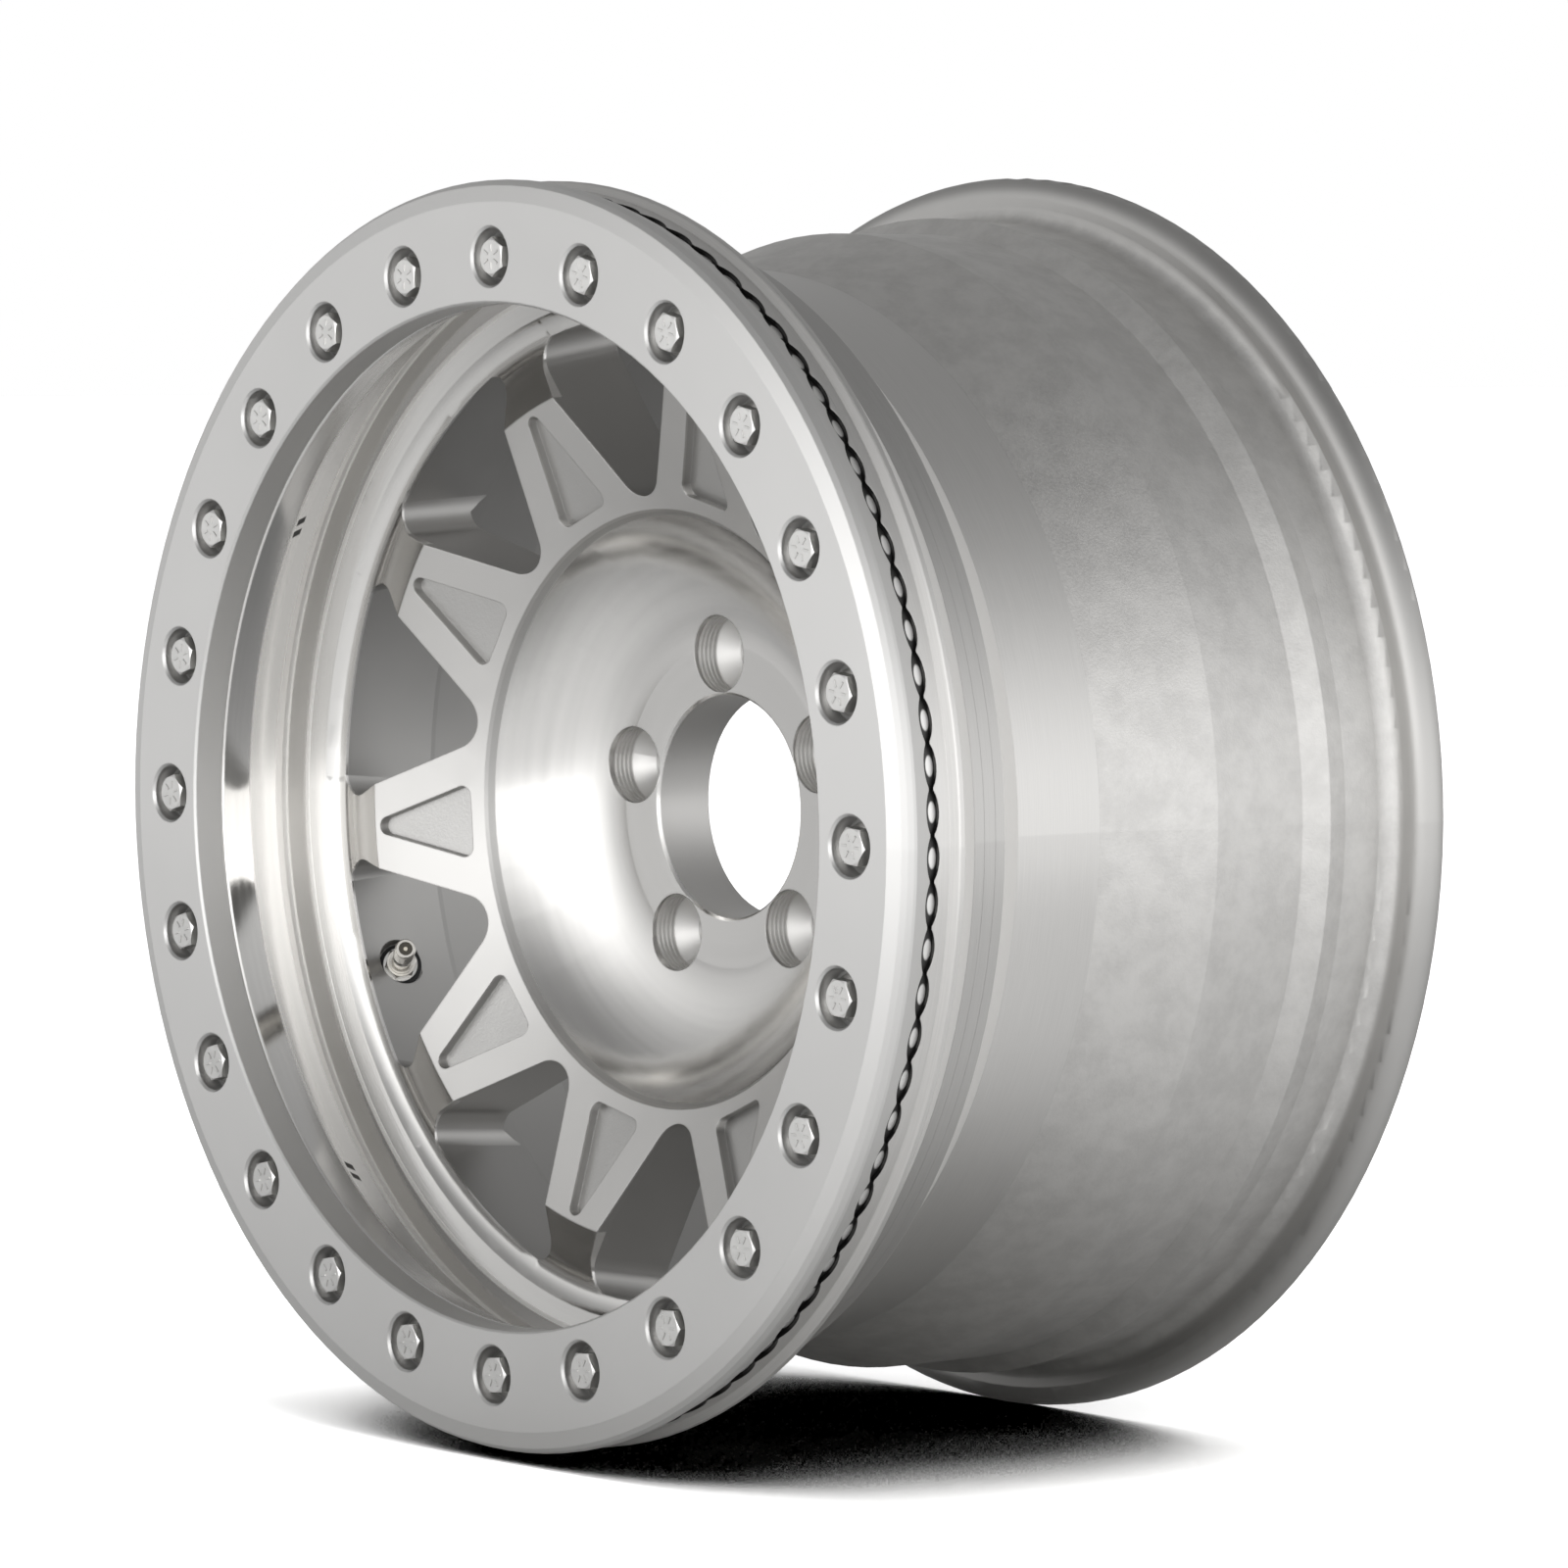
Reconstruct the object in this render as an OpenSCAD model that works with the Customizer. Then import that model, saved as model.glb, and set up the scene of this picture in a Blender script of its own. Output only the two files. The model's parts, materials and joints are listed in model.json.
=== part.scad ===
// Seventeen by nine inch beadlock wheel with a bolted clamp ring.
// Every radius is measured from the wheel's axis and every depth from the ring's front face.
// The axis runs along +Y, the ring's face looks towards -Y and the origin is at mid width.
// Angles go round the axis from +X towards +Z.

/* [Overall] */
// Width over the ring's face and the rear edge
wheel_width = 254; // [253:0.5:258]
// Radius of both bead seats, the front one being the land under the ring
bead_seat_radius = 218.3; // [217.8:0.1:218.8]

/* [Beadlock ring] */
// How far the ring's outer edge stands over the bead seat
ring_overhang = 13.7; // [13:0.1:15]
// Radius of the ring's central opening
ring_bore_radius = 187.2; // [186:0.2:188]
// Thickness of the ring inside the land, also the depth of the seam to the wheel
ring_thickness = 13; // [12:0.5:13.5]
// Distance from the outer edge to the circle where the flat front face ends
ring_flat_inset = 8; // [6:0.5:9]
// Distance from the outer edge to the circle where the shallow front bevel ends
ring_bevel_inset = 2.1; // [1.6:0.1:2.8]
// Depth of the shallow front bevel
ring_bevel_depth = 1.8; // [1:0.2:2.4]
// Depth where the rolled outer edge turns into the rear bevel
ring_edge_depth = 7.2; // [6:0.1:8]
// Depth of the ring's scalloped rear edge
ring_shoulder_depth = 15.5; // [15:0.1:16]
// Depth of the rear end of the spigot that enters the flange
ring_lip_depth = 20.6; // [20:0.1:21]
// Chamfer on the edges of the central opening
ring_bore_chamfer = 0.8; // [0.3:0.1:1.2]
// Radial clearance between the ring and the land that centres it
ring_clearance = 0.1; // [0.05:0.05:0.3]

/* [Clamp scallops] */
// Distance from the ring's outer edge to the scalloped edges
clamp_inset = 3; // [2.4:0.1:3.6]
// Height of the scalloped edges over the ring's spigot
clamp_step = 1.8; // [1.2:0.1:2.4]
// Number of scallops round each clamping edge
scallop_count = 90; // [84:1:90]
// Radius of each scallop
scallop_radius = 14; // [13.5:0.5:16]
// Height of the scallops between their tips and bottoms
scallop_height = 2.2; // [1.4:0.1:2.2]
// Angle of the first scallop
scallop_angle = 3.1; // [0:0.1:4]

/* [Ring bolts] */
// Number of ring bolts
bolt_count = 24; // [20:1:24]
// Diameter of the bolt circle
bolt_circle = 408; // [406:0.5:410]
// Diameter of the pockets for the bolt heads
pocket_diameter = 21; // [19.5:0.5:22]
// Depth of the pockets
pocket_depth = 8; // [7.8:0.1:9]
// Chamfer on the rim of each pocket
pocket_chamfer = 0.9; // [0.3:0.1:1.2]
// Diameter of the bolt shank
bolt_diameter = 8; // [6:0.5:9]
// Length of the bolt under its flange
bolt_length = 22; // [16:1:26]
// Diameter of the bolt's flange
bolt_flange_diameter = 17; // [16:0.5:18]
// Thickness of the bolt's flange at its edge
bolt_flange_edge = 1.2; // [0.8:0.1:1.6]
// Height of the bolt's flange where it meets the hexagon
bolt_flange_height = 2.4; // [2:0.1:3]
// Height of the whole bolt head
bolt_head_height = 7.4; // [6:0.2:7.6]
// Size of the hexagon across its flats
bolt_flats = 12.7; // [11:0.1:13]
// Height of the six strength marks on the head
bolt_mark_height = 0.3; // [0.1:0.1:0.4]
// Clearance between shank and holes on the diameter
bolt_clearance = 0.1; // [0.05:0.05:0.2]
// Depth of the tapped holes in the land
tapped_depth = 22; // [19:0.5:24]

/* [Front flange and barrel outside] */
// Depth of the scalloped front edge of the wheel's own flange
flange_nose_depth = 17.6; // [17:0.1:18]
// Depth of the flange's front face inside that edge
flange_front_depth = 22.3; // [21.9:0.1:22.8]
// Depth where the flange starts to rise to its rim
flange_step_depth = 24.3; // [24:0.1:25]
// Outer radius of the front flange
front_flange_radius = 231.7; // [230:0.1:232.5]
// Depth of the front corner of the flange's rim
flange_rim_front = 26.7; // [26.2:0.1:27.4]
// Depth of the rear corner of the flange's rim
flange_rim_rear = 29; // [28.5:0.1:30.5]
// Radius of the stepped shoulder behind the flange
shoulder_radius = 215.8; // [215:0.1:216.4]
// Depth where the shoulder starts
shoulder_start = 46.9; // [45:0.1:48]
// Depth of the shoulder's first fine step
shoulder_step_one = 51.6; // [50.5:0.1:53]
// Depth of the shoulder's second fine step
shoulder_step_two = 57.1; // [55.5:0.1:58.5]
// Height of each fine step
shoulder_step = 0.5; // [0.2:0.1:0.8]
// Depth where the shoulder ends and the drop centre begins
shoulder_end = 61.8; // [60.5:0.1:63]
// Radius of the drop centre
well_radius = 200.1; // [199.4:0.1:201]
// Depth where the drop centre's floor starts
well_start = 80.4; // [78:0.1:82]
// Depth where the drop centre's floor ends
well_end = 118.7; // [116:0.1:122]
// Radius of the middle of the barrel
barrel_radius = 213.8; // [212.5:0.1:215]
// Depth where the barrel reaches that radius
barrel_start = 163; // [158:0.5:167]
// Depth where the rear hump rises
hump_start = 204; // [200:0.5:207]
// Radius of the rear hump
hump_radius = 219.9; // [219.2:0.1:220.6]
// Depth of the hump's crest
hump_depth = 212.2; // [210:0.1:214]
// Depth where the hump falls to the rear bead seat
hump_end = 220.9; // [218:0.1:223]

/* [Rear flange] */
// Outer radius of the rear flange
rear_flange_radius = 235.5; // [234:0.1:236.5]
// Distance of the rear flange's bead side from the rear edge
rear_flange_width = 10.2; // [9.4:0.1:11]
// Radius of the fillet between bead seat and flange
rear_fillet_radius = 6.4; // [5:0.1:6.8]
// Radius of the flange's rolled edge
rear_roll_radius = 7.3; // [6:0.1:8]
// Inner radius of the flat rear face
rear_face_radius = 223; // [221:0.5:226]
// Chamfer on the outer edge of the rear face
rear_edge_chamfer = 0.8; // [0.4:0.1:1.2]

/* [Barrel inside] */
// Wall thickness of the barrel
barrel_wall = 7; // [6.4:0.1:8]
// Depth where the inside starts to flare towards the rear face
flare_start = 236; // [230:0.5:240]

/* [Inner lip] */
// Radius of the first edge line behind the ring
lip_line_radius = 192.4; // [191:0.1:193.5]
// Depth of the first edge line
lip_line_depth = 29.6; // [28:0.1:31]
// Radius of the ridge at the end of the lip
lip_ridge_radius = 202.4; // [201.5:0.1:203.4]
// Depth of that ridge
lip_ridge_depth = 49; // [47.5:0.1:50]
// Radius of the concave corner behind the ridge
lip_corner_radius = 206.9; // [206:0.1:207.5]
// Depth where the corner starts
lip_corner_start = 55.1; // [54:0.1:56]
// Depth where the corner ends
lip_corner_end = 57.1; // [56.5:0.1:58]
// Radius of the fine ridge on the forward facing shelf
shelf_radius = 196.3; // [195:0.1:198]
// Depth of that ridge
shelf_depth = 60.2; // [59:0.1:61]
// Radius where the wide fillet starts
fillet_radius_start = 189.7; // [189:0.1:190.5]
// Depth where the wide fillet starts
fillet_depth_start = 63.6; // [63:0.1:64.2]
// Radius of the wide fillet's section
valley_fillet = 12; // [11.9:0.1:12.2]
// Radius on the spoke's flank where the fillet ends
fillet_radius_end = 178; // [177.4:0.1:178.6]
// Depth where the fillet ends
fillet_depth_end = 68.1; // [67.8:0.1:68.4]

/* [Spokes] */
// Number of spokes, windows and pockets
spoke_count = 10; // [10:1:10]
// Angle of the first spoke
spoke_angle = 4.8; // [0:0.1:12]
// Distance of each straight spoke edge from the wheel's axis
spoke_edge_distance = 61.8; // [60:0.1:63]
// Angle between a spoke's centre line and the normal of its edge
spoke_edge_angle = 73; // [72.5:0.1:73.5]
// Radius of the kink where the spoke's face turns down to its flank
kink_radius = 159.1; // [156:0.1:161]
// Depth of the kink
kink_depth = 64.7; // [64:0.1:65.6]
// Radius of the step at the spoke's inner end
bowl_edge_radius = 109.1; // [108:0.1:110]
// Depth of the spoke's face at that step
bowl_edge_depth = 82.2; // [81.5:0.1:83]
// Depth of the back of the disc
web_back_depth = 106.8; // [104:0.1:109]

/* [Windows] */
// Radius of the windows' inner ends
window_inner_radius = 116.5; // [114:0.1:119]
// Radius of the windows' outer edges at the front
window_outer_radius = 182.8; // [182:0.1:183.5]
// Depth at which that radius is measured
window_edge_depth = 69; // [68:0.1:70]
// Radius of the windows' outer edges at the back of the disc
window_back_radius = 190.1; // [189:0.1:191]
// Radius of the windows' outer corners
window_corner_radius = 9; // [7:0.5:11]

/* [Spoke pockets] */
// Radius of the pockets' outer tips
recess_tip_radius = 157.1; // [155:0.1:158]
// Radius of the pockets' inner edges
recess_base_radius = 117; // [116:0.1:119]
// Width of a pocket at its inner edge, between the centres of its corner radii
recess_base_width = 20; // [17:0.5:23]
// Corner radius of the pockets
recess_corner_radius = 3.6; // [3:0.1:4.5]
// Depth of the pockets under the spoke's face
recess_depth = 4; // [2:0.2:6]

/* [Hub] */
// Radius at the top of the bowl
bowl_radius = 108.7; // [107.6:0.1:108.9]
// Depth at the top of the bowl
bowl_top_depth = 85.7; // [85:0.1:86.5]
// Radius where the bowl meets the flat hub face
hub_face_radius = 67.3; // [66:0.1:69]
// Depth of the hub face at that circle
hub_face_depth = 110; // [109:0.1:110.6]
// Radius of the bowl's section
bowl_section_radius = 57.5; // [57:0.1:58.5]
// Depth of the hub face at the centre bore
bore_front_depth = 111; // [110.8:0.1:112]
// Radius of the centre bore
bore_radius = 41.8; // [39:0.1:44]
// Chamfer of the centre bore
bore_chamfer = 1; // [0.5:0.1:1.5]
// Depth of the mounting face
mounting_depth = 136.1; // [132:0.1:140]
// Radius of the mounting face
mounting_radius = 76; // [73:0.5:80]
// Radius where the hub's back meets the disc
hub_back_radius = 112; // [108:0.5:114]

/* [Lug holes] */
// Number of lug holes
lug_count = 5; // [5:1:5]
// Diameter of the lug circle
lug_circle = 114.3; // [112:0.1:116]
// Angle of the first lug hole
lug_angle = 94.5; // [90:0.1:100]
// Radius of the counterbores for the nuts
lug_counterbore_radius = 14.5; // [13:0.1:15]
// Depth where the conical seat starts
lug_seat_depth = 121; // [119:0.5:123]
// Radius of the through holes
lug_hole_radius = 8; // [7:0.1:8.5]
// Angle of the conical seat from the hole's axis
lug_seat_angle = 45; // [30:1:50]
// Pitch of the turned ridges in the counterbores
lug_ridge_pitch = 2; // [1.6:0.1:2.6]
// Height of the turned ridges
lug_ridge_height = 0.3; // [0.1:0.1:0.4]

/* [Valve] */
// Angle of the valve round the wheel
valve_angle = 201.3; // [200:0.1:205]
// Radius of the valve's inner seat
valve_seat_radius = 192.6; // [192.2:0.1:193]
// Depth of the valve's inner seat
valve_seat_depth = 91.6; // [91:0.1:92]
// Forward tilt of the valve from the radial direction
valve_tilt = 30; // [28:1:32]
// Radius of the spot face under the inner seal
valve_spot_radius = 8.9; // [8.7:0.1:9.2]
// Radius of the spot face on the tyre side
valve_outer_spot_radius = 8; // [7.7:0.1:8.2]
// Wall left between both spot faces
valve_grip = 3.9; // [3.4:0.1:4.4]
// Radius of the valve stem's shank
valve_shank_radius = 4; // [3.8:0.1:4.2]
// Clearance round the shank
valve_clearance = 0.1; // [0.05:0.05:0.2]
// Radius of the inner rubber seal
valve_inner_seal_radius = 8.3; // [7.6:0.1:8.5]
// Thickness of the inner rubber seal
valve_inner_seal_height = 1.5; // [1:0.1:2]
// Radius of the steel washer
valve_washer_radius = 6.7; // [6.3:0.1:7.2]
// Thickness of the steel washer
valve_washer_height = 1.2; // [0.8:0.1:1.6]
// Size of the valve nut across its flats
valve_nut_flats = 11; // [10.5:0.5:11.5]
// Height of the valve nut
valve_nut_height = 3.4; // [3:0.2:4]
// Radius of the collar above the nut
valve_collar_radius = 4.6; // [4.4:0.1:5]
// Height of that collar
valve_collar_height = 4; // [3:0.5:6]
// Radius of the cap thread at the tip
valve_tip_radius = 3.85; // [3.7:0.05:3.95]
// Radius of the neck between collar and tip
valve_neck_radius = 3.3; // [3.1:0.1:3.6]
// Length of the neck
valve_neck_length = 4; // [3:0.5:5]
// Distance of the stem's tip from the inner seat
valve_tip_height = 28.5; // [27.5:0.5:30]
// Radius of the stem's head on the tyre side
valve_head_radius = 7; // [6.4:0.1:7.4]
// Thickness of that head
valve_head_height = 3; // [2:0.2:3.6]
// Thickness of the outer rubber seal
valve_outer_seal_height = 1.5; // [1:0.1:2]

/* [Valve core] */
// Radius of the stem's bore for the core
core_bore_radius = 2.65; // [2.6:0.05:2.7]
// Room left under the pin's cup when it is pressed in
core_bore_spare = 2.2; // [1:0.1:3]
// Radius of the air passage through the rest of the stem
air_bore_radius = 1.5; // [1.2:0.1:1.8]
// Length of the core's body
core_body_length = 12.6; // [12:0.2:14]
// Distance of the core's body below the stem's tip
core_inset = 0.8; // [0.4:0.1:1.4]
// Radial clearance of the core's body in its bore
core_clearance = 0.05; // [0.03:0.01:0.08]
// Radius of the pin
pin_radius = 0.8; // [0.7:0.05:0.9]
// Radial running clearance of the pin
pin_clearance = 0.05; // [0.04:0.01:0.08]
// Height of the pin above the core's body
pin_proud = 0.5; // [0.3:0.1:0.8]
// Travel of the pin
pin_travel = 1.5; // [1:0.1:1.8]
// Radius of the cup at the pin's inner end
cup_radius = 2.1; // [1.9:0.05:2.2]
// Height of that cup
cup_height = 1.4; // [1:0.1:1.6]
// Thickness of the rubber disc on the cup
cup_seal_height = 0.5; // [0.3:0.1:0.8]
// Height of the rubber ring round the core's body
core_ring_height = 2; // [1.4:0.1:2.4]
// Depth of the groove that holds that ring
core_ring_groove = 0.5; // [0.3:0.1:0.7]

/* [Hidden] */
$fn = 180;
margin = 1;
// Straight walls lie this much inside the corner arcs they join
arc_overlap = 0.03;
hub_back_chamfer = 1.5;
web_corner_width = 3;
web_corner_depth = 5.2;
web_corner_inset = 0.1;
window_overrun = 10;
hub_back_shoulder = 8;
rim_corner = 0.4;
land_chamfer = 0.5;
cutter_reach = 16;
spot_cut_length = 22;
spot_cut_outside = 30;
bolt_turn = 17;
mark_count = 6;
mark_inner = 2;
mark_outer = 4.6;
mark_width = 0.7;
shank_chamfer = 1;
head_chamfer_slope = 0.55;
head_chamfer_start = 0.97;
corner_block = 3;
window_run = 228;
edge_third = 1 / 3;
edge_quarter = 1 / 4;
thread_relief = 0.3;
spoke_step = 360 / spoke_count;
// Half of the window's opening angle and the point where its two edges would meet
window_half_angle = 90 - (spoke_edge_angle - spoke_step / 2);
window_apex = spoke_edge_distance / sin(window_half_angle);
// The windows' inner end is a circle that touches both edges
inner_end_centre = window_apex
    + (window_inner_radius - window_apex) / (1 - sin(window_half_angle));
inner_end_radius = inner_end_centre - window_inner_radius;
// Slope of the windows' outer wall
window_wall_slope = (window_back_radius - window_outer_radius) / (web_back_depth - window_edge_depth);
// Slope of the spokes' front cone
face_slope = (bowl_edge_depth - kink_depth) / (kink_radius - bowl_edge_radius);
rear_face = wheel_width;
rear_wall = rear_face - rear_flange_width;
roll_centre_radius = rear_flange_radius - rear_roll_radius;
roll_centre_depth = rear_wall + rear_roll_radius;
pocket_radius = pocket_diameter / 2;
bolt_hole_radius = (bolt_diameter + bolt_clearance) / 2;
ring_radius = bead_seat_radius + ring_overhang;
ring_flat_radius = ring_radius - ring_flat_inset;
ring_bevel_radius = ring_radius - ring_bevel_inset;
// The scalloped edges of ring and flange, and the spigot that the flange fits round
clamp_radius = ring_radius - clamp_inset;
spigot_radius = clamp_radius - clamp_step;
edge_rise = ring_radius - ring_bevel_radius;
edge_run = ring_edge_depth - ring_bevel_depth;
core_top = valve_tip_height - core_inset;
core_bottom = core_top - core_body_length;
core_bore_length = core_inset + core_body_length
    + cup_seal_height + cup_height + pin_travel + core_bore_spare;

// Centre of a section circle that passes through two points, on the side of smaller depth
function arc_centre(p, q, r) =
    let (m = (p + q) / 2, d = q - p, l = norm(d), h = sqrt(r * r - l * l / 4))
    [m[0] + h * d[1] / l, m[1] - h * d[0] / l];

function face_depth(r) = kink_depth + (kink_radius - r) * face_slope;

// From the turning frame, depth along +Z, to the row's frame
module in_row() translate([0, -wheel_width / 2, 0]) rotate([-90, 0, 0]) children();

// Turns a child drawn along the first axis to an angle round the wheel
module at(angle) rotate([0, 0, -angle]) children();

module around(count, first) {
    for (i = [0 : count - 1]) at(first + i * 360 / count) children();
}

// Radial cylinders that scallop a clamping edge, side is 1 for the ring and -1 for the flange
module scallop_cutters(bottom, side) {
    middle = bottom + side * scallop_radius;
    around(scallop_count, scallop_angle) difference() {
        translate([spigot_radius - margin, 0, middle])
            rotate([0, 90, 0]) cylinder(r = scallop_radius, h = cutter_reach, $fn = 48);
        translate([0, 0, middle - scallop_radius - margin])
            cylinder(r = spigot_radius + arc_overlap, h = 2 * (scallop_radius + margin));
    }
}

// Bead side, barrel and disc of the wheel as one turned section
module wheel_section() {
    valley = arc_centre(
        [fillet_radius_end, fillet_depth_end], [fillet_radius_start, fillet_depth_start], valley_fillet);
    bowl = arc_centre([hub_face_radius, hub_face_depth], [bowl_radius, bowl_top_depth], bowl_section_radius);
    difference() {
        union() {
            polygon([
                [ring_bore_radius + ring_bore_chamfer, ring_thickness],
                [bead_seat_radius - land_chamfer, ring_thickness],
                [bead_seat_radius, ring_thickness + land_chamfer],
                [bead_seat_radius, flange_front_depth],
                [spigot_radius + ring_clearance, flange_front_depth],
                [spigot_radius + ring_clearance, flange_nose_depth],
                [clamp_radius, flange_nose_depth],
                [clamp_radius, flange_step_depth],
                [front_flange_radius - rim_corner, flange_rim_front],
                [front_flange_radius, flange_rim_front + rim_corner],
                [front_flange_radius, flange_rim_rear],
                [shoulder_radius, shoulder_start],
                [shoulder_radius, shoulder_step_one],
                [shoulder_radius - shoulder_step, shoulder_step_one],
                [shoulder_radius - shoulder_step, shoulder_step_two],
                [shoulder_radius - 2 * shoulder_step, shoulder_step_two],
                [shoulder_radius - 2 * shoulder_step, shoulder_end],
                [shoulder_radius - 3 * shoulder_step, shoulder_end + shoulder_step],
                [well_radius, well_start],
                [well_radius, well_end],
                [barrel_radius, barrel_start],
                [barrel_radius, hump_start],
                [hump_radius, hump_depth],
                [bead_seat_radius, hump_end],
                [bead_seat_radius, rear_wall - rear_fillet_radius],
                [bead_seat_radius + rear_fillet_radius, rear_wall],
                [roll_centre_radius, rear_wall],
                [roll_centre_radius, rear_face],
                [rear_face_radius, rear_face],
                [barrel_radius - barrel_wall, flare_start],
                [barrel_radius - barrel_wall, barrel_start],
                [well_radius - barrel_wall, well_end],
                [window_back_radius + web_corner_inset, web_back_depth + web_corner_depth],
                [window_back_radius - web_corner_width, web_back_depth],
                [hub_back_radius, web_back_depth],
                [mounting_radius + hub_back_chamfer, mounting_depth - hub_back_shoulder],
                [mounting_radius, mounting_depth - hub_back_chamfer],
                [mounting_radius - hub_back_chamfer, mounting_depth],
                [bore_radius + bore_chamfer, mounting_depth],
                [bore_radius, mounting_depth - bore_chamfer],
                [bore_radius, bore_front_depth + bore_chamfer],
                [bore_radius + bore_chamfer, bore_front_depth],
                [hub_face_radius, hub_face_depth],
                [bowl_radius, bowl_top_depth],
                [bowl_edge_radius, bowl_edge_depth],
                [kink_radius, kink_depth],
                [fillet_radius_end, fillet_depth_end],
                [fillet_radius_start, fillet_depth_start],
                [shelf_radius, shelf_depth],
                [lip_corner_radius, lip_corner_end],
                [lip_corner_radius, lip_corner_start],
                [lip_ridge_radius, lip_ridge_depth],
                [lip_line_radius, lip_line_depth],
                [ring_bore_radius, ring_thickness + ring_bore_chamfer]
            ]);
            intersection() {
                translate([roll_centre_radius, roll_centre_depth]) circle(r = rear_roll_radius);
                polygon([
                    [roll_centre_radius - margin, rear_wall - margin],
                    [rear_flange_radius + margin, rear_wall - margin],
                    [rear_flange_radius + margin, rear_face - 2 * rear_edge_chamfer - margin],
                    [rear_flange_radius - rear_edge_chamfer, rear_face],
                    [roll_centre_radius - margin, rear_face]
                ]);
            }
        }
        translate([bead_seat_radius + rear_fillet_radius, rear_wall - rear_fillet_radius])
            circle(r = rear_fillet_radius);
        translate(valley) circle(r = valley_fillet);
        translate(bowl) circle(r = bowl_section_radius);
    }
}

// Material kept in one outer corner of a window, side is 1 or -1
module window_corner(side) {
    r = window_corner_radius;
    normal_angle = spoke_edge_angle - spoke_step / 2;
    near = window_outer_radius - r;
    far = window_back_radius - r;
    offset_to_edge = spoke_edge_distance + r;
    run_near = sqrt(near * near - offset_to_edge * offset_to_edge);
    run_far = sqrt(far * far - offset_to_edge * offset_to_edge);
    lean = atan((run_far - run_near) / (web_back_depth - window_edge_depth));
    reach = r * offset_to_edge / near;
    height = web_back_depth;
    mirror([0, side > 0 ? 0 : 1, 0])
        rotate([0, 0, normal_angle])
            translate([offset_to_edge, -run_near, window_edge_depth])
                rotate([lean, 0, 0])
                    difference() {
                        translate([-r - margin, -corner_block * r, -height / 3])
                            cube([r + margin + reach, corner_block * r, height]);
                        translate([0, 0, -height / 3 - margin])
                            cylinder(r = r, h = height + 2 * margin);
                    }
}

// One window, drawn round the first axis
module window() {
    half = window_half_angle;
    top = kink_depth - 3 * recess_depth;
    bottom = web_back_depth + window_overrun;
    run = window_run;
    touch = [
        inner_end_centre - inner_end_radius * sin(half),
        inner_end_radius * cos(half)
    ];
    spread = (run - window_apex) * tan(half);
    difference() {
        intersection() {
            translate([0, 0, top]) linear_extrude(height = bottom - top) union() {
                polygon([touch, [run, spread], [run, -spread], [touch[0], -touch[1]]]);
                translate([inner_end_centre, 0]) circle(r = inner_end_radius);
            }
            translate([0, 0, top]) cylinder(
                r1 = window_outer_radius - (window_edge_depth - top) * window_wall_slope,
                r2 = window_outer_radius + (bottom - window_edge_depth) * window_wall_slope,
                h = bottom - top);
        }
        window_corner(1);
        window_corner(-1);
    }
}

// Triangular recess in a spoke's face, its floor parallel to that face
module spoke_recess() {
    r = recess_corner_radius;
    top = kink_depth - recess_depth;
    tip = recess_tip_radius - r;
    base = recess_base_radius + r;
    half = recess_base_width / 2;
    slant = atan(half / (tip - base));
    wall = r - arc_overlap;
    side = [sin(slant) * wall, cos(slant) * wall];
    low = face_depth(recess_base_radius) + 2 * recess_depth;
    intersection() {
        translate([0, 0, top]) linear_extrude(height = low - top) union() {
            polygon([
                [tip + side[0], side[1]],
                [base + side[0], half + side[1]],
                [base, half],
                [base - wall, half],
                [base - wall, -half],
                [base, -half],
                [base + side[0], -half - side[1]],
                [tip + side[0], -side[1]]
            ]);
            translate([tip, 0]) circle(r = r, $fn = 48);
            translate([base, half]) circle(r = r, $fn = 48);
            translate([base, -half]) circle(r = r, $fn = 48);
        }
        translate([0, 0, top]) cylinder(
            r1 = kink_radius + (kink_depth + recess_depth - top) / face_slope,
            r2 = kink_radius + (kink_depth + recess_depth - low) / face_slope,
            h = low - top);
    }
}

// Counterbore with turned ridges, conical seat and through hole for a lug nut
module lug_hole() {
    seat_end = lug_seat_depth + (lug_counterbore_radius - lug_hole_radius) / tan(lug_seat_angle);
    ridges = floor((lug_seat_depth - bore_front_depth) / lug_ridge_pitch);
    rotate_extrude($fn = 72) union() {
        polygon([
            [0, bowl_top_depth],
            [lug_counterbore_radius, bowl_top_depth],
            [lug_counterbore_radius, lug_seat_depth],
            [lug_hole_radius, seat_end],
            [lug_hole_radius, mounting_depth + margin],
            [0, mounting_depth + margin]
        ]);
        for (i = [0 : ridges - 1])
            translate([lug_counterbore_radius - margin, bore_front_depth + (i + 0.5) * lug_ridge_pitch])
                square([margin + lug_ridge_height, lug_ridge_pitch / 2]);
    }
}

module valve_frame() {
    at(valve_angle) translate([valve_seat_radius, 0, valve_seat_depth])
        rotate([0, -(90 + valve_tilt), 0]) children();
}

module valve_seat_cut() {
    valve_frame() {
        cylinder(r = valve_spot_radius, h = spot_cut_length, $fn = 72);
        translate([0, 0, -valve_grip - margin])
            cylinder(r = valve_shank_radius + valve_clearance, h = valve_grip + 2 * margin, $fn = 48);
        translate([0, 0, -valve_grip - spot_cut_outside])
            cylinder(r = valve_outer_spot_radius, h = spot_cut_outside, $fn = 72);
    }
}

// Forged one piece wheel, disc and barrel together
module wheel() color([0.72, 0.71, 0.69]) in_row() difference() {
    rotate_extrude() wheel_section();
    scallop_cutters(flange_nose_depth + scallop_height, -1);
    around(spoke_count, spoke_angle + spoke_step / 2) window();
    around(spoke_count, spoke_angle) spoke_recess();
    around(lug_count, lug_angle) translate([lug_circle / 2, 0, 0]) lug_hole();
    around(bolt_count, 90) translate([bolt_circle / 2, 0, ring_thickness - margin])
        cylinder(r = bolt_hole_radius, h = tapped_depth + margin, $fn = 48);
    valve_seat_cut();
}

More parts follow.
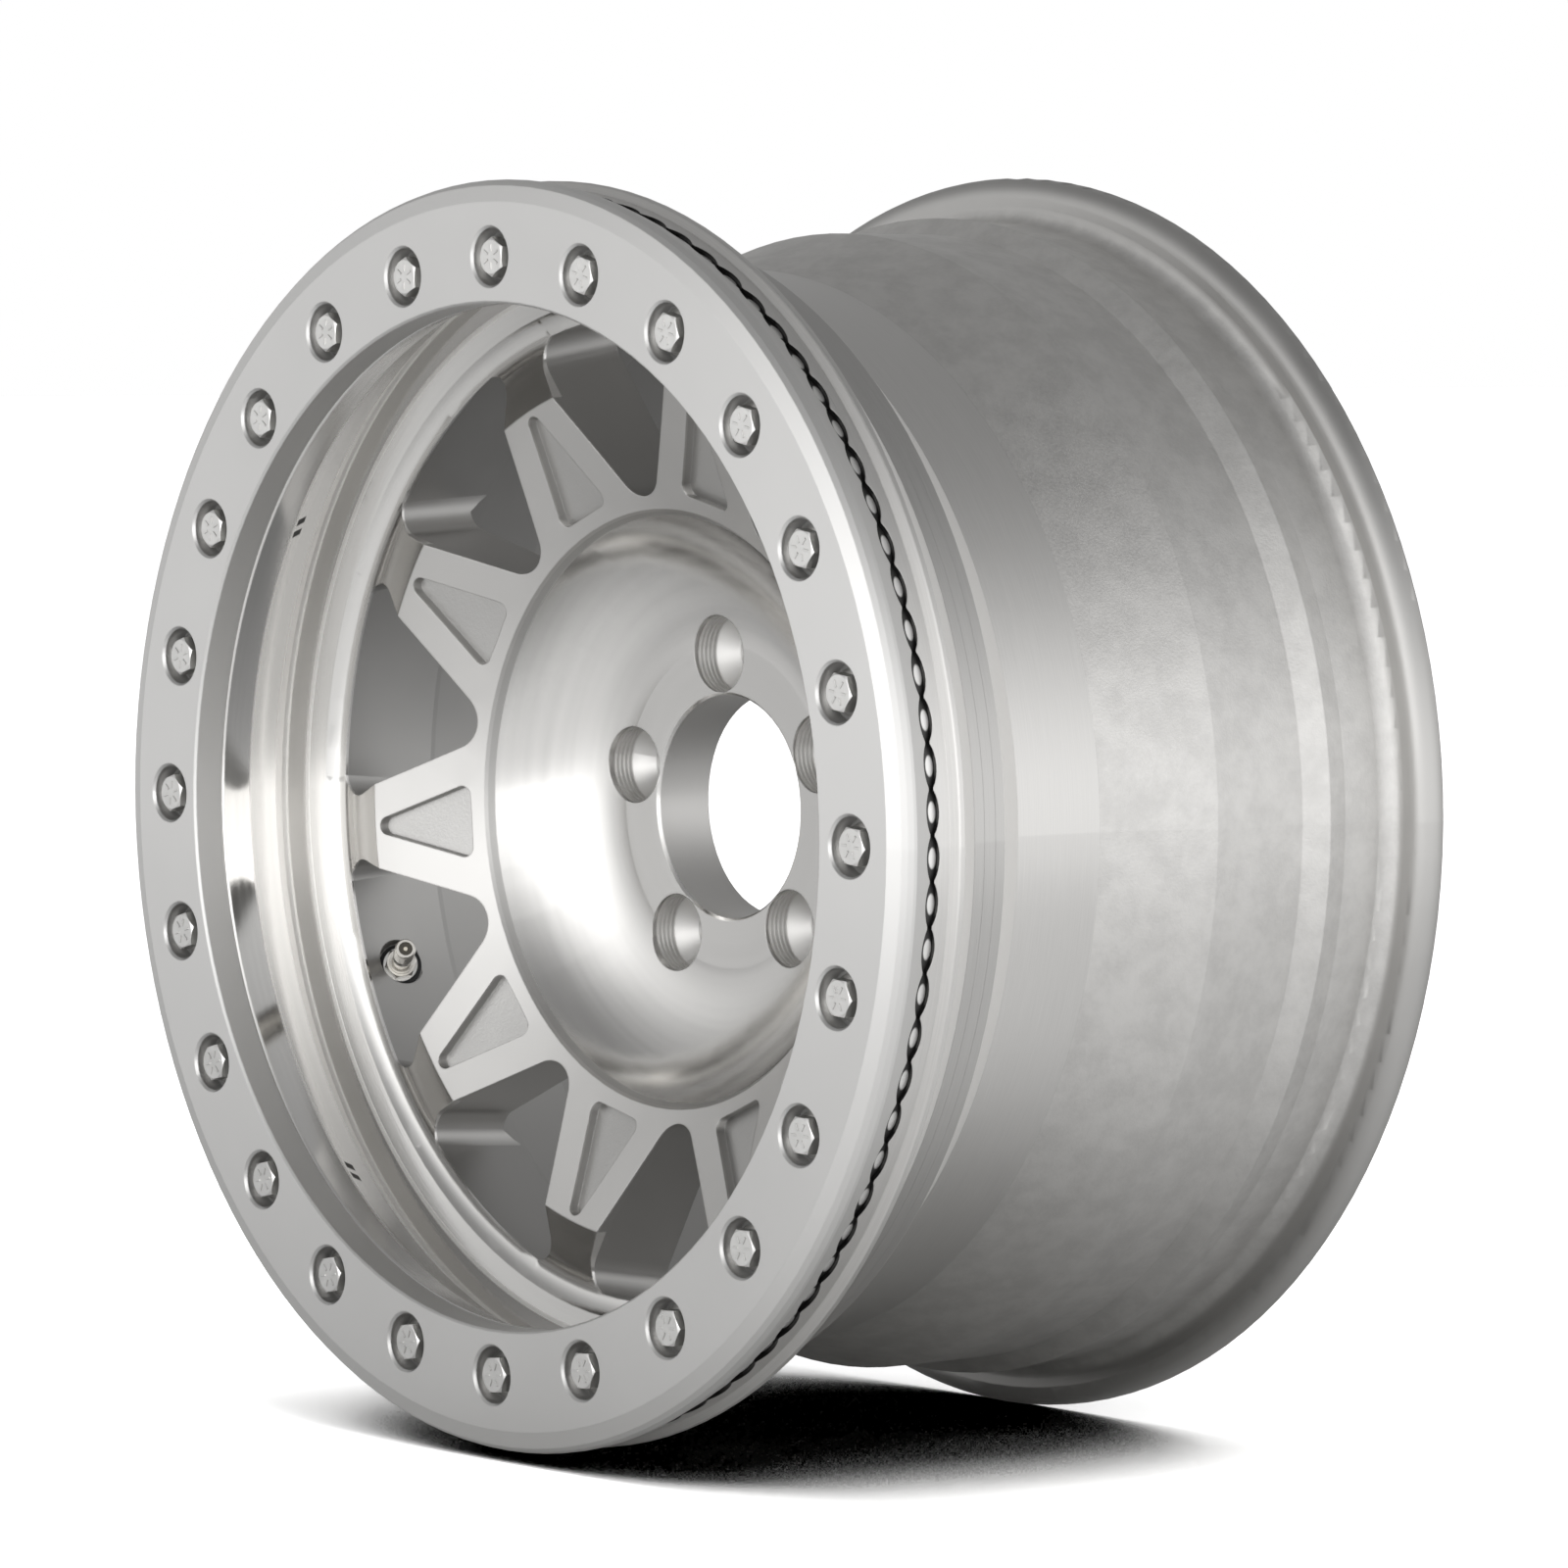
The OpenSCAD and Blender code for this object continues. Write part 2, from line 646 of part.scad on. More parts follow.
// Clamp ring with its scalloped edge, its spigot and the bolt pockets
module beadlock_ring() color([0.76, 0.75, 0.73]) in_row() difference() {
    rotate_extrude() polygon([
        [ring_bore_radius + ring_bore_chamfer, 0],
        [ring_flat_radius, 0],
        [ring_bevel_radius, ring_bevel_depth],
        [ring_radius - edge_rise * edge_third, ring_bevel_depth + edge_run * edge_third],
        [ring_radius, ring_edge_depth - edge_run * edge_quarter],
        [ring_radius, ring_edge_depth],
        [clamp_radius, ring_shoulder_depth],
        [spigot_radius, ring_shoulder_depth],
        [spigot_radius, ring_lip_depth - land_chamfer],
        [spigot_radius - land_chamfer, ring_lip_depth],
        [bead_seat_radius + ring_clearance, ring_lip_depth],
        [bead_seat_radius + ring_clearance, ring_thickness],
        [ring_bore_radius + ring_bore_chamfer, ring_thickness],
        [ring_bore_radius, ring_thickness - ring_bore_chamfer],
        [ring_bore_radius, ring_bore_chamfer]
    ]);
    scallop_cutters(ring_shoulder_depth - scallop_height, 1);
    around(bolt_count, 90) translate([bolt_circle / 2, 0, 0]) {
        translate([0, 0, -margin]) cylinder(r = pocket_radius, h = pocket_depth + margin, $fn = 72);
        translate([0, 0, -margin]) cylinder(
            r1 = pocket_radius + pocket_chamfer + margin,
            r2 = pocket_radius,
            h = pocket_chamfer + margin,
            $fn = 72);
        cylinder(r = bolt_hole_radius + bolt_clearance, h = ring_thickness + margin, $fn = 48);
    }
}

// Flanged hexagon bolt, drawn from its seat downwards to depth
module ring_bolt(turn) {
    head_top = -bolt_head_height;
    rotate([0, 0, turn]) {
        intersection() {
            translate([0, 0, head_top])
                cylinder(d = bolt_flats / cos(30), h = bolt_head_height - bolt_flange_edge / 2, $fn = 6);
            translate([0, 0, head_top]) cylinder(
                r1 = bolt_flats / 2 * head_chamfer_start,
                r2 = bolt_flats / 2 * head_chamfer_start + bolt_head_height / head_chamfer_slope,
                h = bolt_head_height, $fn = 72);
        }
        around(mark_count, 0) translate([mark_inner, -mark_width / 2, head_top - bolt_mark_height])
            cube([mark_outer - mark_inner, mark_width, bolt_mark_height + margin]);
    }
    translate([0, 0, -bolt_flange_edge]) cylinder(d = bolt_flange_diameter, h = bolt_flange_edge, $fn = 72);
    translate([0, 0, -bolt_flange_height]) cylinder(
        d1 = bolt_flats, d2 = bolt_flange_diameter, h = bolt_flange_height - bolt_flange_edge, $fn = 72);
    translate([0, 0, -margin]) cylinder(d = bolt_diameter, h = bolt_length + margin - shank_chamfer, $fn = 48);
    translate([0, 0, bolt_length - shank_chamfer])
        cylinder(d1 = bolt_diameter, d2 = bolt_diameter - 2 * shank_chamfer, h = shank_chamfer, $fn = 48);
}

module ring_bolts() color([0.62, 0.61, 0.60]) in_row() {
    for (i = [0 : bolt_count - 1])
        at(90 + i * 360 / bolt_count) translate([bolt_circle / 2, 0, pocket_depth])
            ring_bolt(bolt_turn * i);
}

// Stem of the valve, its head on the tyre side and the stepped tip inside
module valve_stem() color([0.70, 0.69, 0.66]) in_row() valve_frame() {
    head_top = -valve_grip - valve_outer_seal_height;
    nut_top = valve_inner_seal_height + valve_washer_height + valve_nut_height;
    collar_top = nut_top + valve_collar_height;
    neck_top = collar_top + valve_neck_length;
    difference() {
        union() {
            translate([0, 0, head_top - valve_head_height])
                cylinder(r = valve_head_radius, h = valve_head_height, $fn = 72);
            translate([0, 0, head_top - margin])
                cylinder(r = valve_shank_radius, h = nut_top + thread_relief - head_top + margin, $fn = 48);
            translate([0, 0, nut_top + thread_relief])
                cylinder(r = valve_collar_radius, h = valve_collar_height - thread_relief, $fn = 48);
            translate([0, 0, collar_top - margin])
                cylinder(r = valve_neck_radius, h = valve_neck_length + 2 * margin, $fn = 48);
            translate([0, 0, neck_top])
                cylinder(r = valve_tip_radius, h = valve_tip_height - neck_top - thread_relief, $fn = 48);
            translate([0, 0, valve_tip_height - thread_relief]) cylinder(
                r1 = valve_tip_radius,
                r2 = valve_tip_radius - thread_relief,
                h = thread_relief,
                $fn = 48);
        }
        translate([0, 0, valve_tip_height - core_bore_length])
            cylinder(r = core_bore_radius, h = core_bore_length + margin, $fn = 48);
        translate([0, 0, head_top - valve_head_height - margin])
            cylinder(r = air_bore_radius, h = valve_tip_height, $fn = 48);
    }
}

module valve_outer_seal() color([0.07, 0.07, 0.07]) in_row() valve_frame()
    translate([0, 0, -valve_grip - valve_outer_seal_height]) difference() {
        cylinder(r = valve_head_radius + thread_relief, h = valve_outer_seal_height, $fn = 72);
        translate([0, 0, -margin])
            cylinder(r = valve_shank_radius, h = valve_outer_seal_height + 2 * margin, $fn = 48);
    }

module valve_inner_seal() color([0.06, 0.06, 0.06]) in_row() valve_frame() difference() {
    cylinder(r = valve_inner_seal_radius, h = valve_inner_seal_height, $fn = 72);
    translate([0, 0, -margin])
        cylinder(r = valve_shank_radius, h = valve_inner_seal_height + 2 * margin, $fn = 48);
}

module valve_washer() color([0.74, 0.73, 0.70]) in_row() valve_frame()
    translate([0, 0, valve_inner_seal_height]) difference() {
        cylinder(r = valve_washer_radius, h = valve_washer_height, $fn = 72);
        translate([0, 0, -margin])
            cylinder(r = valve_shank_radius + valve_clearance, h = valve_washer_height + 2 * margin, $fn = 48);
    }

module valve_nut() color([0.70, 0.69, 0.66]) in_row() valve_frame()
    translate([0, 0, valve_inner_seal_height + valve_washer_height]) difference() {
        intersection() {
            cylinder(d = valve_nut_flats / cos(30), h = valve_nut_height, $fn = 6);
            cylinder(
                r1 = valve_nut_flats / 2 + valve_nut_height / head_chamfer_slope,
                r2 = valve_nut_flats / 2,
                h = valve_nut_height, $fn = 72);
        }
        translate([0, 0, -margin])
            cylinder(r = valve_shank_radius, h = valve_nut_height + 2 * margin, $fn = 48);
    }

// Screwed body that carries the pin
module valve_core_body() color([0.78, 0.66, 0.36]) in_row() valve_frame() difference() {
    translate([0, 0, core_bottom])
        cylinder(r = core_bore_radius - core_clearance, h = core_body_length, $fn = 48);
    translate([0, 0, core_bottom - margin])
        cylinder(r = pin_radius + pin_clearance, h = core_body_length + 2 * margin, $fn = 48);
    translate([0, 0, core_bottom + core_ring_height]) difference() {
        cylinder(r = core_bore_radius + margin, h = core_ring_height, $fn = 48);
        translate([0, 0, -margin]) cylinder(
            r = core_bore_radius - core_clearance - core_ring_groove,
            h = core_ring_height + 2 * margin,
            $fn = 48);
    }
}

module valve_core_ring() color([0.12, 0.12, 0.12]) in_row() valve_frame()
    translate([0, 0, core_bottom + core_ring_height]) difference() {
        cylinder(r = core_bore_radius, h = core_ring_height, $fn = 48);
        translate([0, 0, -margin]) cylinder(
            r = core_bore_radius - core_clearance - core_ring_groove,
            h = core_ring_height + 2 * margin,
            $fn = 48);
    }

// Pin with the cup that closes the core from inside
module valve_core_pin() color([0.80, 0.68, 0.38]) in_row() valve_frame() {
    cup_top = core_bottom - cup_seal_height;
    translate([0, 0, cup_top - margin / 2])
        cylinder(r = pin_radius, h = core_top + pin_proud - cup_top + margin / 2, $fn = 48);
    translate([0, 0, cup_top - cup_height]) cylinder(r = cup_radius, h = cup_height, $fn = 48);
}

module valve_pin_seal() color([0.10, 0.10, 0.10]) in_row() valve_frame()
    translate([0, 0, core_bottom - cup_seal_height]) difference() {
        cylinder(r = cup_radius, h = cup_seal_height, $fn = 48);
        translate([0, 0, -margin]) cylinder(r = pin_radius, h = cup_seal_height + 2 * margin, $fn = 48);
    }

wheel();
beadlock_ring();
ring_bolts();
valve_stem();
valve_outer_seal();
valve_inner_seal();
valve_washer();
valve_nut();
valve_core_body();
valve_core_ring();
valve_core_pin();
valve_pin_seal();
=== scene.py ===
"""Finishes, valve thread, studio and camera for the bare beadlock wheel."""

import json
import math

import bpy
import numpy as np
from bpy.props import FloatProperty, FloatVectorProperty, IntProperty, PointerProperty
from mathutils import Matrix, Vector


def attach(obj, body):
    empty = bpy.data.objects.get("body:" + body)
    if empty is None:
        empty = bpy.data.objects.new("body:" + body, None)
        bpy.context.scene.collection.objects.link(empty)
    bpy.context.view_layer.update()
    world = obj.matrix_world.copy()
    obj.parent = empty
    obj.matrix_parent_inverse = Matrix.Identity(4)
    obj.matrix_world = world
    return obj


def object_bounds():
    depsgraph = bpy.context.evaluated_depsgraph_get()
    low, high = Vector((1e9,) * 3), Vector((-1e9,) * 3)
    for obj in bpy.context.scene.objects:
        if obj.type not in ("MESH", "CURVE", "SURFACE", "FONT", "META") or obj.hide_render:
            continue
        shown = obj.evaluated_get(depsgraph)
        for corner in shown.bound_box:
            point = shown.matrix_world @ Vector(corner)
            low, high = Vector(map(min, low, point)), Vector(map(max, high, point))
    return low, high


bl_info = {
    "name": "Beadlock Wheel Finisher",
    "version": (1, 0, 0),
    "blender": (4, 5, 0),
    "location": "View3D > Sidebar > Wheel",
    "description": "Gives a bare beadlock wheel its metal finishes, valve thread and studio",
    "category": "Object",
}

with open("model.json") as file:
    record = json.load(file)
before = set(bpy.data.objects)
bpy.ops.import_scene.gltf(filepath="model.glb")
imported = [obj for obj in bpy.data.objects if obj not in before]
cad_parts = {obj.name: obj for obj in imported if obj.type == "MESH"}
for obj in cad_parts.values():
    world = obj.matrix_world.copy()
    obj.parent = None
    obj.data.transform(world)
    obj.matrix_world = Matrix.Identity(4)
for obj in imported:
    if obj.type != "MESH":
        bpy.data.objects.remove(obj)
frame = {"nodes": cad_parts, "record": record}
CAD_LOW, CAD_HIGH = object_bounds()

MM = 0.001
HALF_WIDTH = (CAD_HIGH.y - CAD_LOW.y) / 2

# Sizes of the wheel that the finishes follow, in millimetres. A radius is measured from the wheel's axis and
# a depth from the ring's face. A pair holds the low and the high end of a stretch.
CONE_KINK_RADIUS = 159.1
CONE_KINK_DEPTH = 64.7
CONE_SLOPE = 0.35
BOWL_RADIUS = 109.1
POCKET_DEPTH = (3.4, 4.6)
LIP_END_DEPTH = 69.0
LIP_LAND_RADIUS = 209.5
LIP_LAND_END = (65.0, 66.0)
HUB_FACE_DEPTH = 112.0
HUB_FACE_RADIUS = 67.3
BORE_RADIUS = 41.8
LUG_REACH = 72.5
LUG_END_DEPTH = 135.0
DROP_CENTRE_END = 118.7
BARREL_INSIDE_RADIUS = 198.0
BARREL_INSIDE_RISE = 12.0
BARREL_INSIDE_SLOPE = (122.0, 163.0)
REAR_LIP_DEPTH = (243.0, 244.0)
RING_INNER_BEVEL = (188.1, 188.3)
RING_OUTER_BEVEL = (224.0, 224.4)
RING_STEP_DEPTH = (1.5, 8.0)
RING_STEP_RADIUS = (190.0, 216.0)
# The clamping groove: depths of the scallop walls in ring and flange, which get painted shade, radius of
# their tops, and the painted reflection of the spigot, a bright patch in the middle of each scallop
SCALLOP_COUNT = 90
SCALLOP_ANGLE = 3.1
SPIGOT_RADIUS = 227.2
GROOVE_TOP = 228.8
RING_GROOVE = (13.0, 22.5)
FLANGE_GROOVE = (17.0, 20.2)
GROOVE_REFLECTION_DEPTH = 17.9
GROOVE_REFLECTION_SIZE = (3.7, 1.7)
FLANGE_RISE = (24.4, 26.6)
FLANGE_RISE_RADIUS = (228.0, 228.5)
FLANGE_BACK = (29.0, 46.9)
FLANGE_BACK_RADIUS = (215.9, 216.3)
WELL_SLOPE = (61.7, 80.4)
# Painted highlight lines of the inner lip: its first edge and its corner by depth, the shelf's ridge by
# radius
LIP_EDGE = (29.0, 30.3)
LIP_CORNER = (48.7, 57.3)
LIP_SHELF = (196.0, 197.7)
LIP_SHELF_DEPTH = 58.3
# Two pairs of dark marks on the inner lip: depth of each pair and its angle in degrees
LIP_MARKS = ((34.1, 148.3), (34.6, -133.0))
LIP_MARK_RADIUS = 195.0
LIP_MARK_BAND = (185.0, 200.0)
LIP_MARK_SIZE = (2.6, 1.4)
LIP_MARK_SHIFT = 2.7
VALVE_ANGLE = 201.3
VALVE_SEAT = (192.6, 91.6)
VALVE_TILT = 30.0
PIN_EDGE = (0.82, 0.90)

# Scales of the noises, in repeats a millimetre along a lathe's lines and in repeats a metre elsewhere
LATHE_SCALE = 2.6
RING_LATHE_SCALE = 3.2
BAND_SCALE = 0.22
# Heights of the finest relief, in metres
FORGED_RELIEF = 0.00006
RING_RELIEF = 0.00003
PLATED_RELIEF = 0.00002
VALVE_RELIEF = 0.00001
RUBBER_RELIEF = 0.00004


class Graph:
    """Adds shader nodes to a material or world and links them."""

    def __init__(self, owner):
        owner.use_nodes = True
        self.tree = owner.node_tree
        self.tree.nodes.clear()

    def add(self, kind, inputs=None, **settings):
        """New node with its settings, and its sockets fed by name or number."""
        made = self.tree.nodes.new(kind)
        for key, value in settings.items():
            setattr(made, key, value)
        for key, value in (inputs or {}).items():
            self.feed(made.inputs[key], value)
        return made

    def feed(self, socket, value):
        """Links an output to the socket, or sets a plain value on it."""
        if isinstance(value, bpy.types.NodeSocket):
            self.tree.links.new(value, socket)
        else:
            socket.default_value = value

    def math(self, operation, *values, clamp=False):
        """Result of one operation on numbers."""
        made = self.add("ShaderNodeMath", operation=operation, use_clamp=clamp)
        for socket, value in zip(made.inputs, values):
            self.feed(socket, value)
        return made.outputs[0]

    def times(self, *values):
        """Product of two or more numbers."""
        product = values[0]
        for value in values[1:]:
            product = self.math("MULTIPLY", product, value)
        return product

    def ramp(self, value, low, high, start=0.0, end=1.0):
        """Smooth step of value from low to high."""
        made = self.add("ShaderNodeMapRange", interpolation_type="SMOOTHSTEP")
        for socket, given in zip(made.inputs, (value, low, high, start, end)):
            self.feed(socket, given)
        return made.outputs[0]

    def between(self, value, low, high, soft):
        """One inside low to high, zero outside, with soft edges."""
        rise = self.ramp(value, low - soft, low + soft)
        fall = self.ramp(value, high - soft, high + soft, 1.0, 0.0)
        return self.times(rise, fall)

    def mix(self, data_type, kind, factor, first, second):
        """Mix of two values of one kind: the node has sockets of every kind under the same names."""
        made = self.add("ShaderNodeMix", {"Factor": factor}, data_type=data_type)
        for name, value in (("A", first), ("B", second)):
            self.feed(next(s for s in made.inputs if s.name == name and s.type == kind), value)
        return next(s for s in made.outputs if s.type == kind)

    def blend(self, factor, first, second):
        """Mix of two numbers."""
        return self.mix("FLOAT", "VALUE", factor, first, second)

    def tint(self, factor, first, second):
        """Mix of two colours."""
        return self.mix("RGBA", "RGBA", factor, first, second)

    def spread(self, factor, value, low, high):
        """Number that varies from low to high times a value, by a noise."""
        return self.blend(factor, value * low, value * high)

    def shades(self, factor, value, low, high):
        """Colour that varies from low to high times a colour, by a noise."""
        return self.tint(factor, scaled(value, low), scaled(value, high))

    def vector(self, operation, *values):
        """Node of one operation on vectors."""
        return self.add("ShaderNodeVectorMath", dict(enumerate(values)), operation=operation)

    def place(self):
        """Place on the piece, in its own coordinates."""
        return self.add("ShaderNodeTexCoord").outputs["Object"]

    def noise(self, vector, scale, detail=2.0, roughness=0.5):
        """Noise between zero and one."""
        made = self.add(
            "ShaderNodeTexNoise",
            {"Vector": vector, "Scale": scale, "Detail": detail, "Roughness": roughness},
        )
        return made.outputs["Fac"]


class Turned:
    """Coordinates of a turned surface: radius and depth in millimetres, and angle."""

    def __init__(self, graph):
        self.place = graph.place()
        parts = graph.add("ShaderNodeSeparateXYZ", {"Vector": self.place})
        self.x, self.y, self.z = parts.outputs
        square = graph.math("ADD", graph.times(self.x, self.x), graph.times(self.z, self.z))
        self.radius = graph.times(graph.math("SQRT", square), 1 / MM)
        self.depth = graph.times(graph.math("ADD", self.y, HALF_WIDTH), 1 / MM)
        self.angle = graph.math("ARCTAN2", self.z, self.x)
        stretched = graph.times(self.angle, 3.0)
        self.lathe = graph.add(
            "ShaderNodeCombineXYZ", {"X": self.radius, "Y": self.depth, "Z": stretched}
        ).outputs[0]
        back = graph.times(self.x, -1.0)
        self.around = graph.add("ShaderNodeCombineXYZ", {"X": self.z, "Y": 0.0, "Z": back}).outputs[0]


def colour(value):
    """Colour with its alpha."""
    return (value[0], value[1], value[2], 1.0)


def scaled(value, factor):
    """Colour times a factor, with its alpha."""
    return (value[0] * factor, value[1] * factor, value[2] * factor, 1.0)


def finish_surface(graph, shade, rough, height, relief_height, edge, turned=None, stretch=0.0, metal=1.0):
    """Principled surface with rounded edges in its shading and a fine relief. Stretch draws its reflections
    out across the lathe's lines."""
    rounded = graph.add("ShaderNodeBevel", {"Radius": edge}, samples=2).outputs[0]
    relief = graph.add(
        "ShaderNodeBump", {"Strength": 1.0, "Distance": relief_height, "Height": height, "Normal": rounded}
    ).outputs[0]
    surface = graph.add("ShaderNodeBsdfPrincipled", {"Metallic": metal, "Normal": relief})
    graph.feed(surface.inputs["Base Color"], shade)
    graph.feed(surface.inputs["Roughness"], rough)
    if turned is not None and stretch:
        surface.inputs["Anisotropic"].default_value = stretch
        surface.inputs["Anisotropic Rotation"].default_value = 0.25
        graph.feed(surface.inputs["Tangent"], turned.around)
    out = graph.add("ShaderNodeOutputMaterial")
    graph.tree.links.new(surface.outputs[0], out.inputs["Surface"])


def lip_marks(graph, turned):
    """One on the dark marks of the inner lip. Each pair is two patches side by side round the lip."""
    share = 0.0
    for depth, angle in LIP_MARKS:
        across = graph.math("SUBTRACT", turned.depth, depth)
        turn = graph.math("SUBTRACT", turned.angle, math.radians(angle))
        along = graph.math("ABSOLUTE", graph.times(turn, LIP_MARK_RADIUS))
        off = graph.math("SUBTRACT", along, LIP_MARK_SHIFT)
        patch = graph.times(graph.between(across, -LIP_MARK_SIZE[0], LIP_MARK_SIZE[0], 0.4),
                            graph.between(off, -LIP_MARK_SIZE[1], LIP_MARK_SIZE[1], 0.4))
        share = graph.math("ADD", share, patch, clamp=True)
    return graph.times(share, graph.between(turned.radius, *LIP_MARK_BAND, 0.5))


def forged_zones(graph, turned):
    """Shares of the forged wheel's zones, each one inside its zone and zero outside: the spokes' front faces,
    the pocket floors, the inner lip, the bowl, and the barrel's outside, front and rear."""
    radius, depth = turned.radius, turned.depth
    cone = graph.times(graph.math("SUBTRACT", CONE_KINK_RADIUS, radius), CONE_SLOPE)
    below = graph.math("SUBTRACT", depth, graph.math("ADD", cone, CONE_KINK_DEPTH))
    on_disc = graph.between(radius, BOWL_RADIUS, CONE_KINK_RADIUS + 0.6, 0.2)
    spoke = graph.times(graph.between(below, -1.0, 1.0, 0.2), on_disc)
    pocket = graph.times(graph.between(below, *POCKET_DEPTH, 0.3), on_disc)
    lip = graph.times(graph.ramp(depth, LIP_END_DEPTH, LIP_END_DEPTH + 0.6, 1.0, 0.0),
                      graph.between(radius, CONE_KINK_RADIUS + 0.4, LIP_LAND_RADIUS, 0.3))
    bowl = graph.times(graph.ramp(radius, BOWL_RADIUS - 0.2, BOWL_RADIUS + 0.2, 1.0, 0.0),
                       graph.ramp(depth, HUB_FACE_DEPTH, HUB_FACE_DEPTH + 0.4, 1.0, 0.0))
    rise = graph.times(BARREL_INSIDE_RISE, graph.ramp(depth, *BARREL_INSIDE_SLOPE))
    wall = graph.math("ADD", BARREL_INSIDE_RADIUS, rise)
    wall = graph.blend(graph.ramp(depth, *LIP_LAND_END), LIP_LAND_RADIUS, wall)
    outside = graph.ramp(graph.math("SUBTRACT", radius, wall), -0.5, 0.5)
    low, high = DROP_CENTRE_END - 0.3, DROP_CENTRE_END + 0.3
    rear = graph.times(outside, graph.ramp(depth, low, high), graph.ramp(depth, *REAR_LIP_DEPTH, 1.0, 0.0))
    front = graph.times(outside, graph.ramp(depth, low, high, 1.0, 0.0))
    return spoke, pocket, lip, bowl, outside, front, rear


def forged_finish(material, looks):
    """Forged alloy: polished lip and bowl, brushed spoke faces, milled walls, turned and sanded barrel."""
    graph = Graph(material)
    turned = Turned(graph)
    radius, depth = turned.radius, turned.depth
    spoke, pocket, lip, bowl, outside, front, rear = forged_zones(graph, turned)

    lathe_lines = graph.noise(turned.lathe, LATHE_SCALE, 1.0, 0.6)
    broad_bands = graph.noise(turned.lathe, BAND_SCALE, 1.0)
    grain = graph.noise(turned.place, 2600.0, 0.0)
    clouds = graph.noise(turned.place, 22.0, 2.0, 0.6)
    sand = graph.noise(turned.place, 900.0, 1.0, 0.75)
    mottle = graph.noise(turned.place, 70.0, 3.0, 0.7)

    polish = graph.spread(broad_bands, looks.polish_roughness, 0.6, 1.5)
    rough = graph.spread(clouds, looks.milled_roughness, 0.85, 1.15)
    rough = graph.blend(spoke, rough, graph.spread(clouds, looks.spoke_roughness, 0.85, 1.2))
    rough = graph.blend(pocket, rough, graph.spread(grain, looks.pocket_roughness, 0.8, 1.2))
    rough = graph.blend(lip, rough, graph.times(polish, 0.7))
    rough = graph.blend(bowl, rough, polish)
    rough = graph.blend(front, rough, graph.spread(lathe_lines, looks.turned_roughness, 0.7, 1.3))
    rough = graph.blend(rear, rough, graph.spread(sand, looks.sanded_roughness, 0.8, 1.2))

    base = looks.alloy_colour
    bright = graph.shades(broad_bands, base, 1.05, 1.2)
    shade = graph.shades(clouds, base, 0.70, 0.80)
    shade = graph.tint(spoke, shade, graph.shades(clouds, base, 0.86, 0.93))
    shade = graph.tint(pocket, shade, graph.shades(clouds, looks.pocket_colour, 1.0, 1.1))
    shade = graph.tint(lip, shade, bright)
    shade = graph.tint(bowl, shade, bright)

    # The hub's face is duller than the bowl; the bore and the nut seats are painted lighter, painted light
    # that lifts their shade
    hub = graph.times(bowl, graph.ramp(radius, HUB_FACE_RADIUS - 6.0, HUB_FACE_RADIUS + 14.0, 1.0, 0.0))
    shade = graph.tint(hub, shade, scaled(base, 0.85))
    bore = graph.ramp(radius, BORE_RADIUS + 0.9, BORE_RADIUS + 1.3, 1.0, 0.0)
    nut_seats = graph.times(graph.between(radius, BORE_RADIUS + 0.9, LUG_REACH, 0.3),
                            graph.between(depth, HUB_FACE_DEPTH + 0.2, LUG_END_DEPTH, 0.2))
    shade = graph.tint(graph.math("ADD", bore, nut_seats, clamp=True), shade, scaled(base, 1.12))

    # The barrel: lathe lines in front, mottled sanding behind
    shade = graph.tint(front, shade, graph.shades(lathe_lines, base, 0.95, 1.1))
    mottled = graph.shades(graph.ramp(mottle, 0.3, 0.7), base, 0.84, 1.0)
    shade = graph.tint(rear, shade, graph.tint(graph.times(sand, 0.5), mottled, scaled(base, 1.15)))

    # The lip's bright lines are painted highlights: its first edge, its corner and the shelf's ridge
    shelf = graph.times(graph.between(radius, *LIP_SHELF, 0.25),
                        graph.ramp(depth, LIP_SHELF_DEPTH - 0.3, LIP_SHELF_DEPTH + 0.3))
    edge_line = graph.times(graph.between(depth, *LIP_EDGE, 0.2), 0.6)
    corner_line = graph.between(depth, *LIP_CORNER, 0.25)
    lip_highlight_lines = graph.math("ADD", shelf, graph.math("ADD", edge_line, corner_line))
    lip_highlight_lines = graph.math("MULTIPLY", lip, lip_highlight_lines, clamp=True)
    shade = graph.tint(lip_highlight_lines, shade, scaled(base, 1.5))
    rough = graph.blend(lip_highlight_lines, rough, 0.42)

    # The flange: painted shade on the scallop walls, soft rise and back, a duller shoulder, painted light on
    # the back and the well's slope
    groove = graph.times(graph.between(depth, *FLANGE_GROOVE, 0.1),
                         graph.between(radius, SPIGOT_RADIUS - 1.0, GROOVE_TOP, 0.1))
    shade = graph.tint(groove, shade, scaled(base, 0.11))
    rise = graph.times(graph.between(depth, *FLANGE_RISE, 0.2), graph.ramp(radius, *FLANGE_RISE_RADIUS))
    back = graph.times(graph.between(depth, *FLANGE_BACK, 0.4), graph.ramp(radius, *FLANGE_BACK_RADIUS))
    well_slope = graph.times(outside, graph.between(depth, *WELL_SLOPE, 0.3))
    slopes_painted_light = graph.math("ADD", back, well_slope, clamp=True)
    shoulder = graph.times(outside, graph.between(depth, FLANGE_BACK[1], WELL_SLOPE[0], 0.3))
    shade = graph.tint(shoulder, shade, graph.shades(lathe_lines, base, 0.74, 0.86))
    # Painted light: the back and the well's slope are brightened
    shade = graph.tint(slopes_painted_light, shade, scaled(base, 1.3))
    rough = graph.blend(graph.math("ADD", rise, slopes_painted_light, clamp=True), rough, 0.55)

    marks = graph.times(lip_marks(graph, turned), 0.9)
    shade = graph.tint(marks, shade, scaled(base, 0.06))
    rough = graph.blend(marks, rough, 0.7)

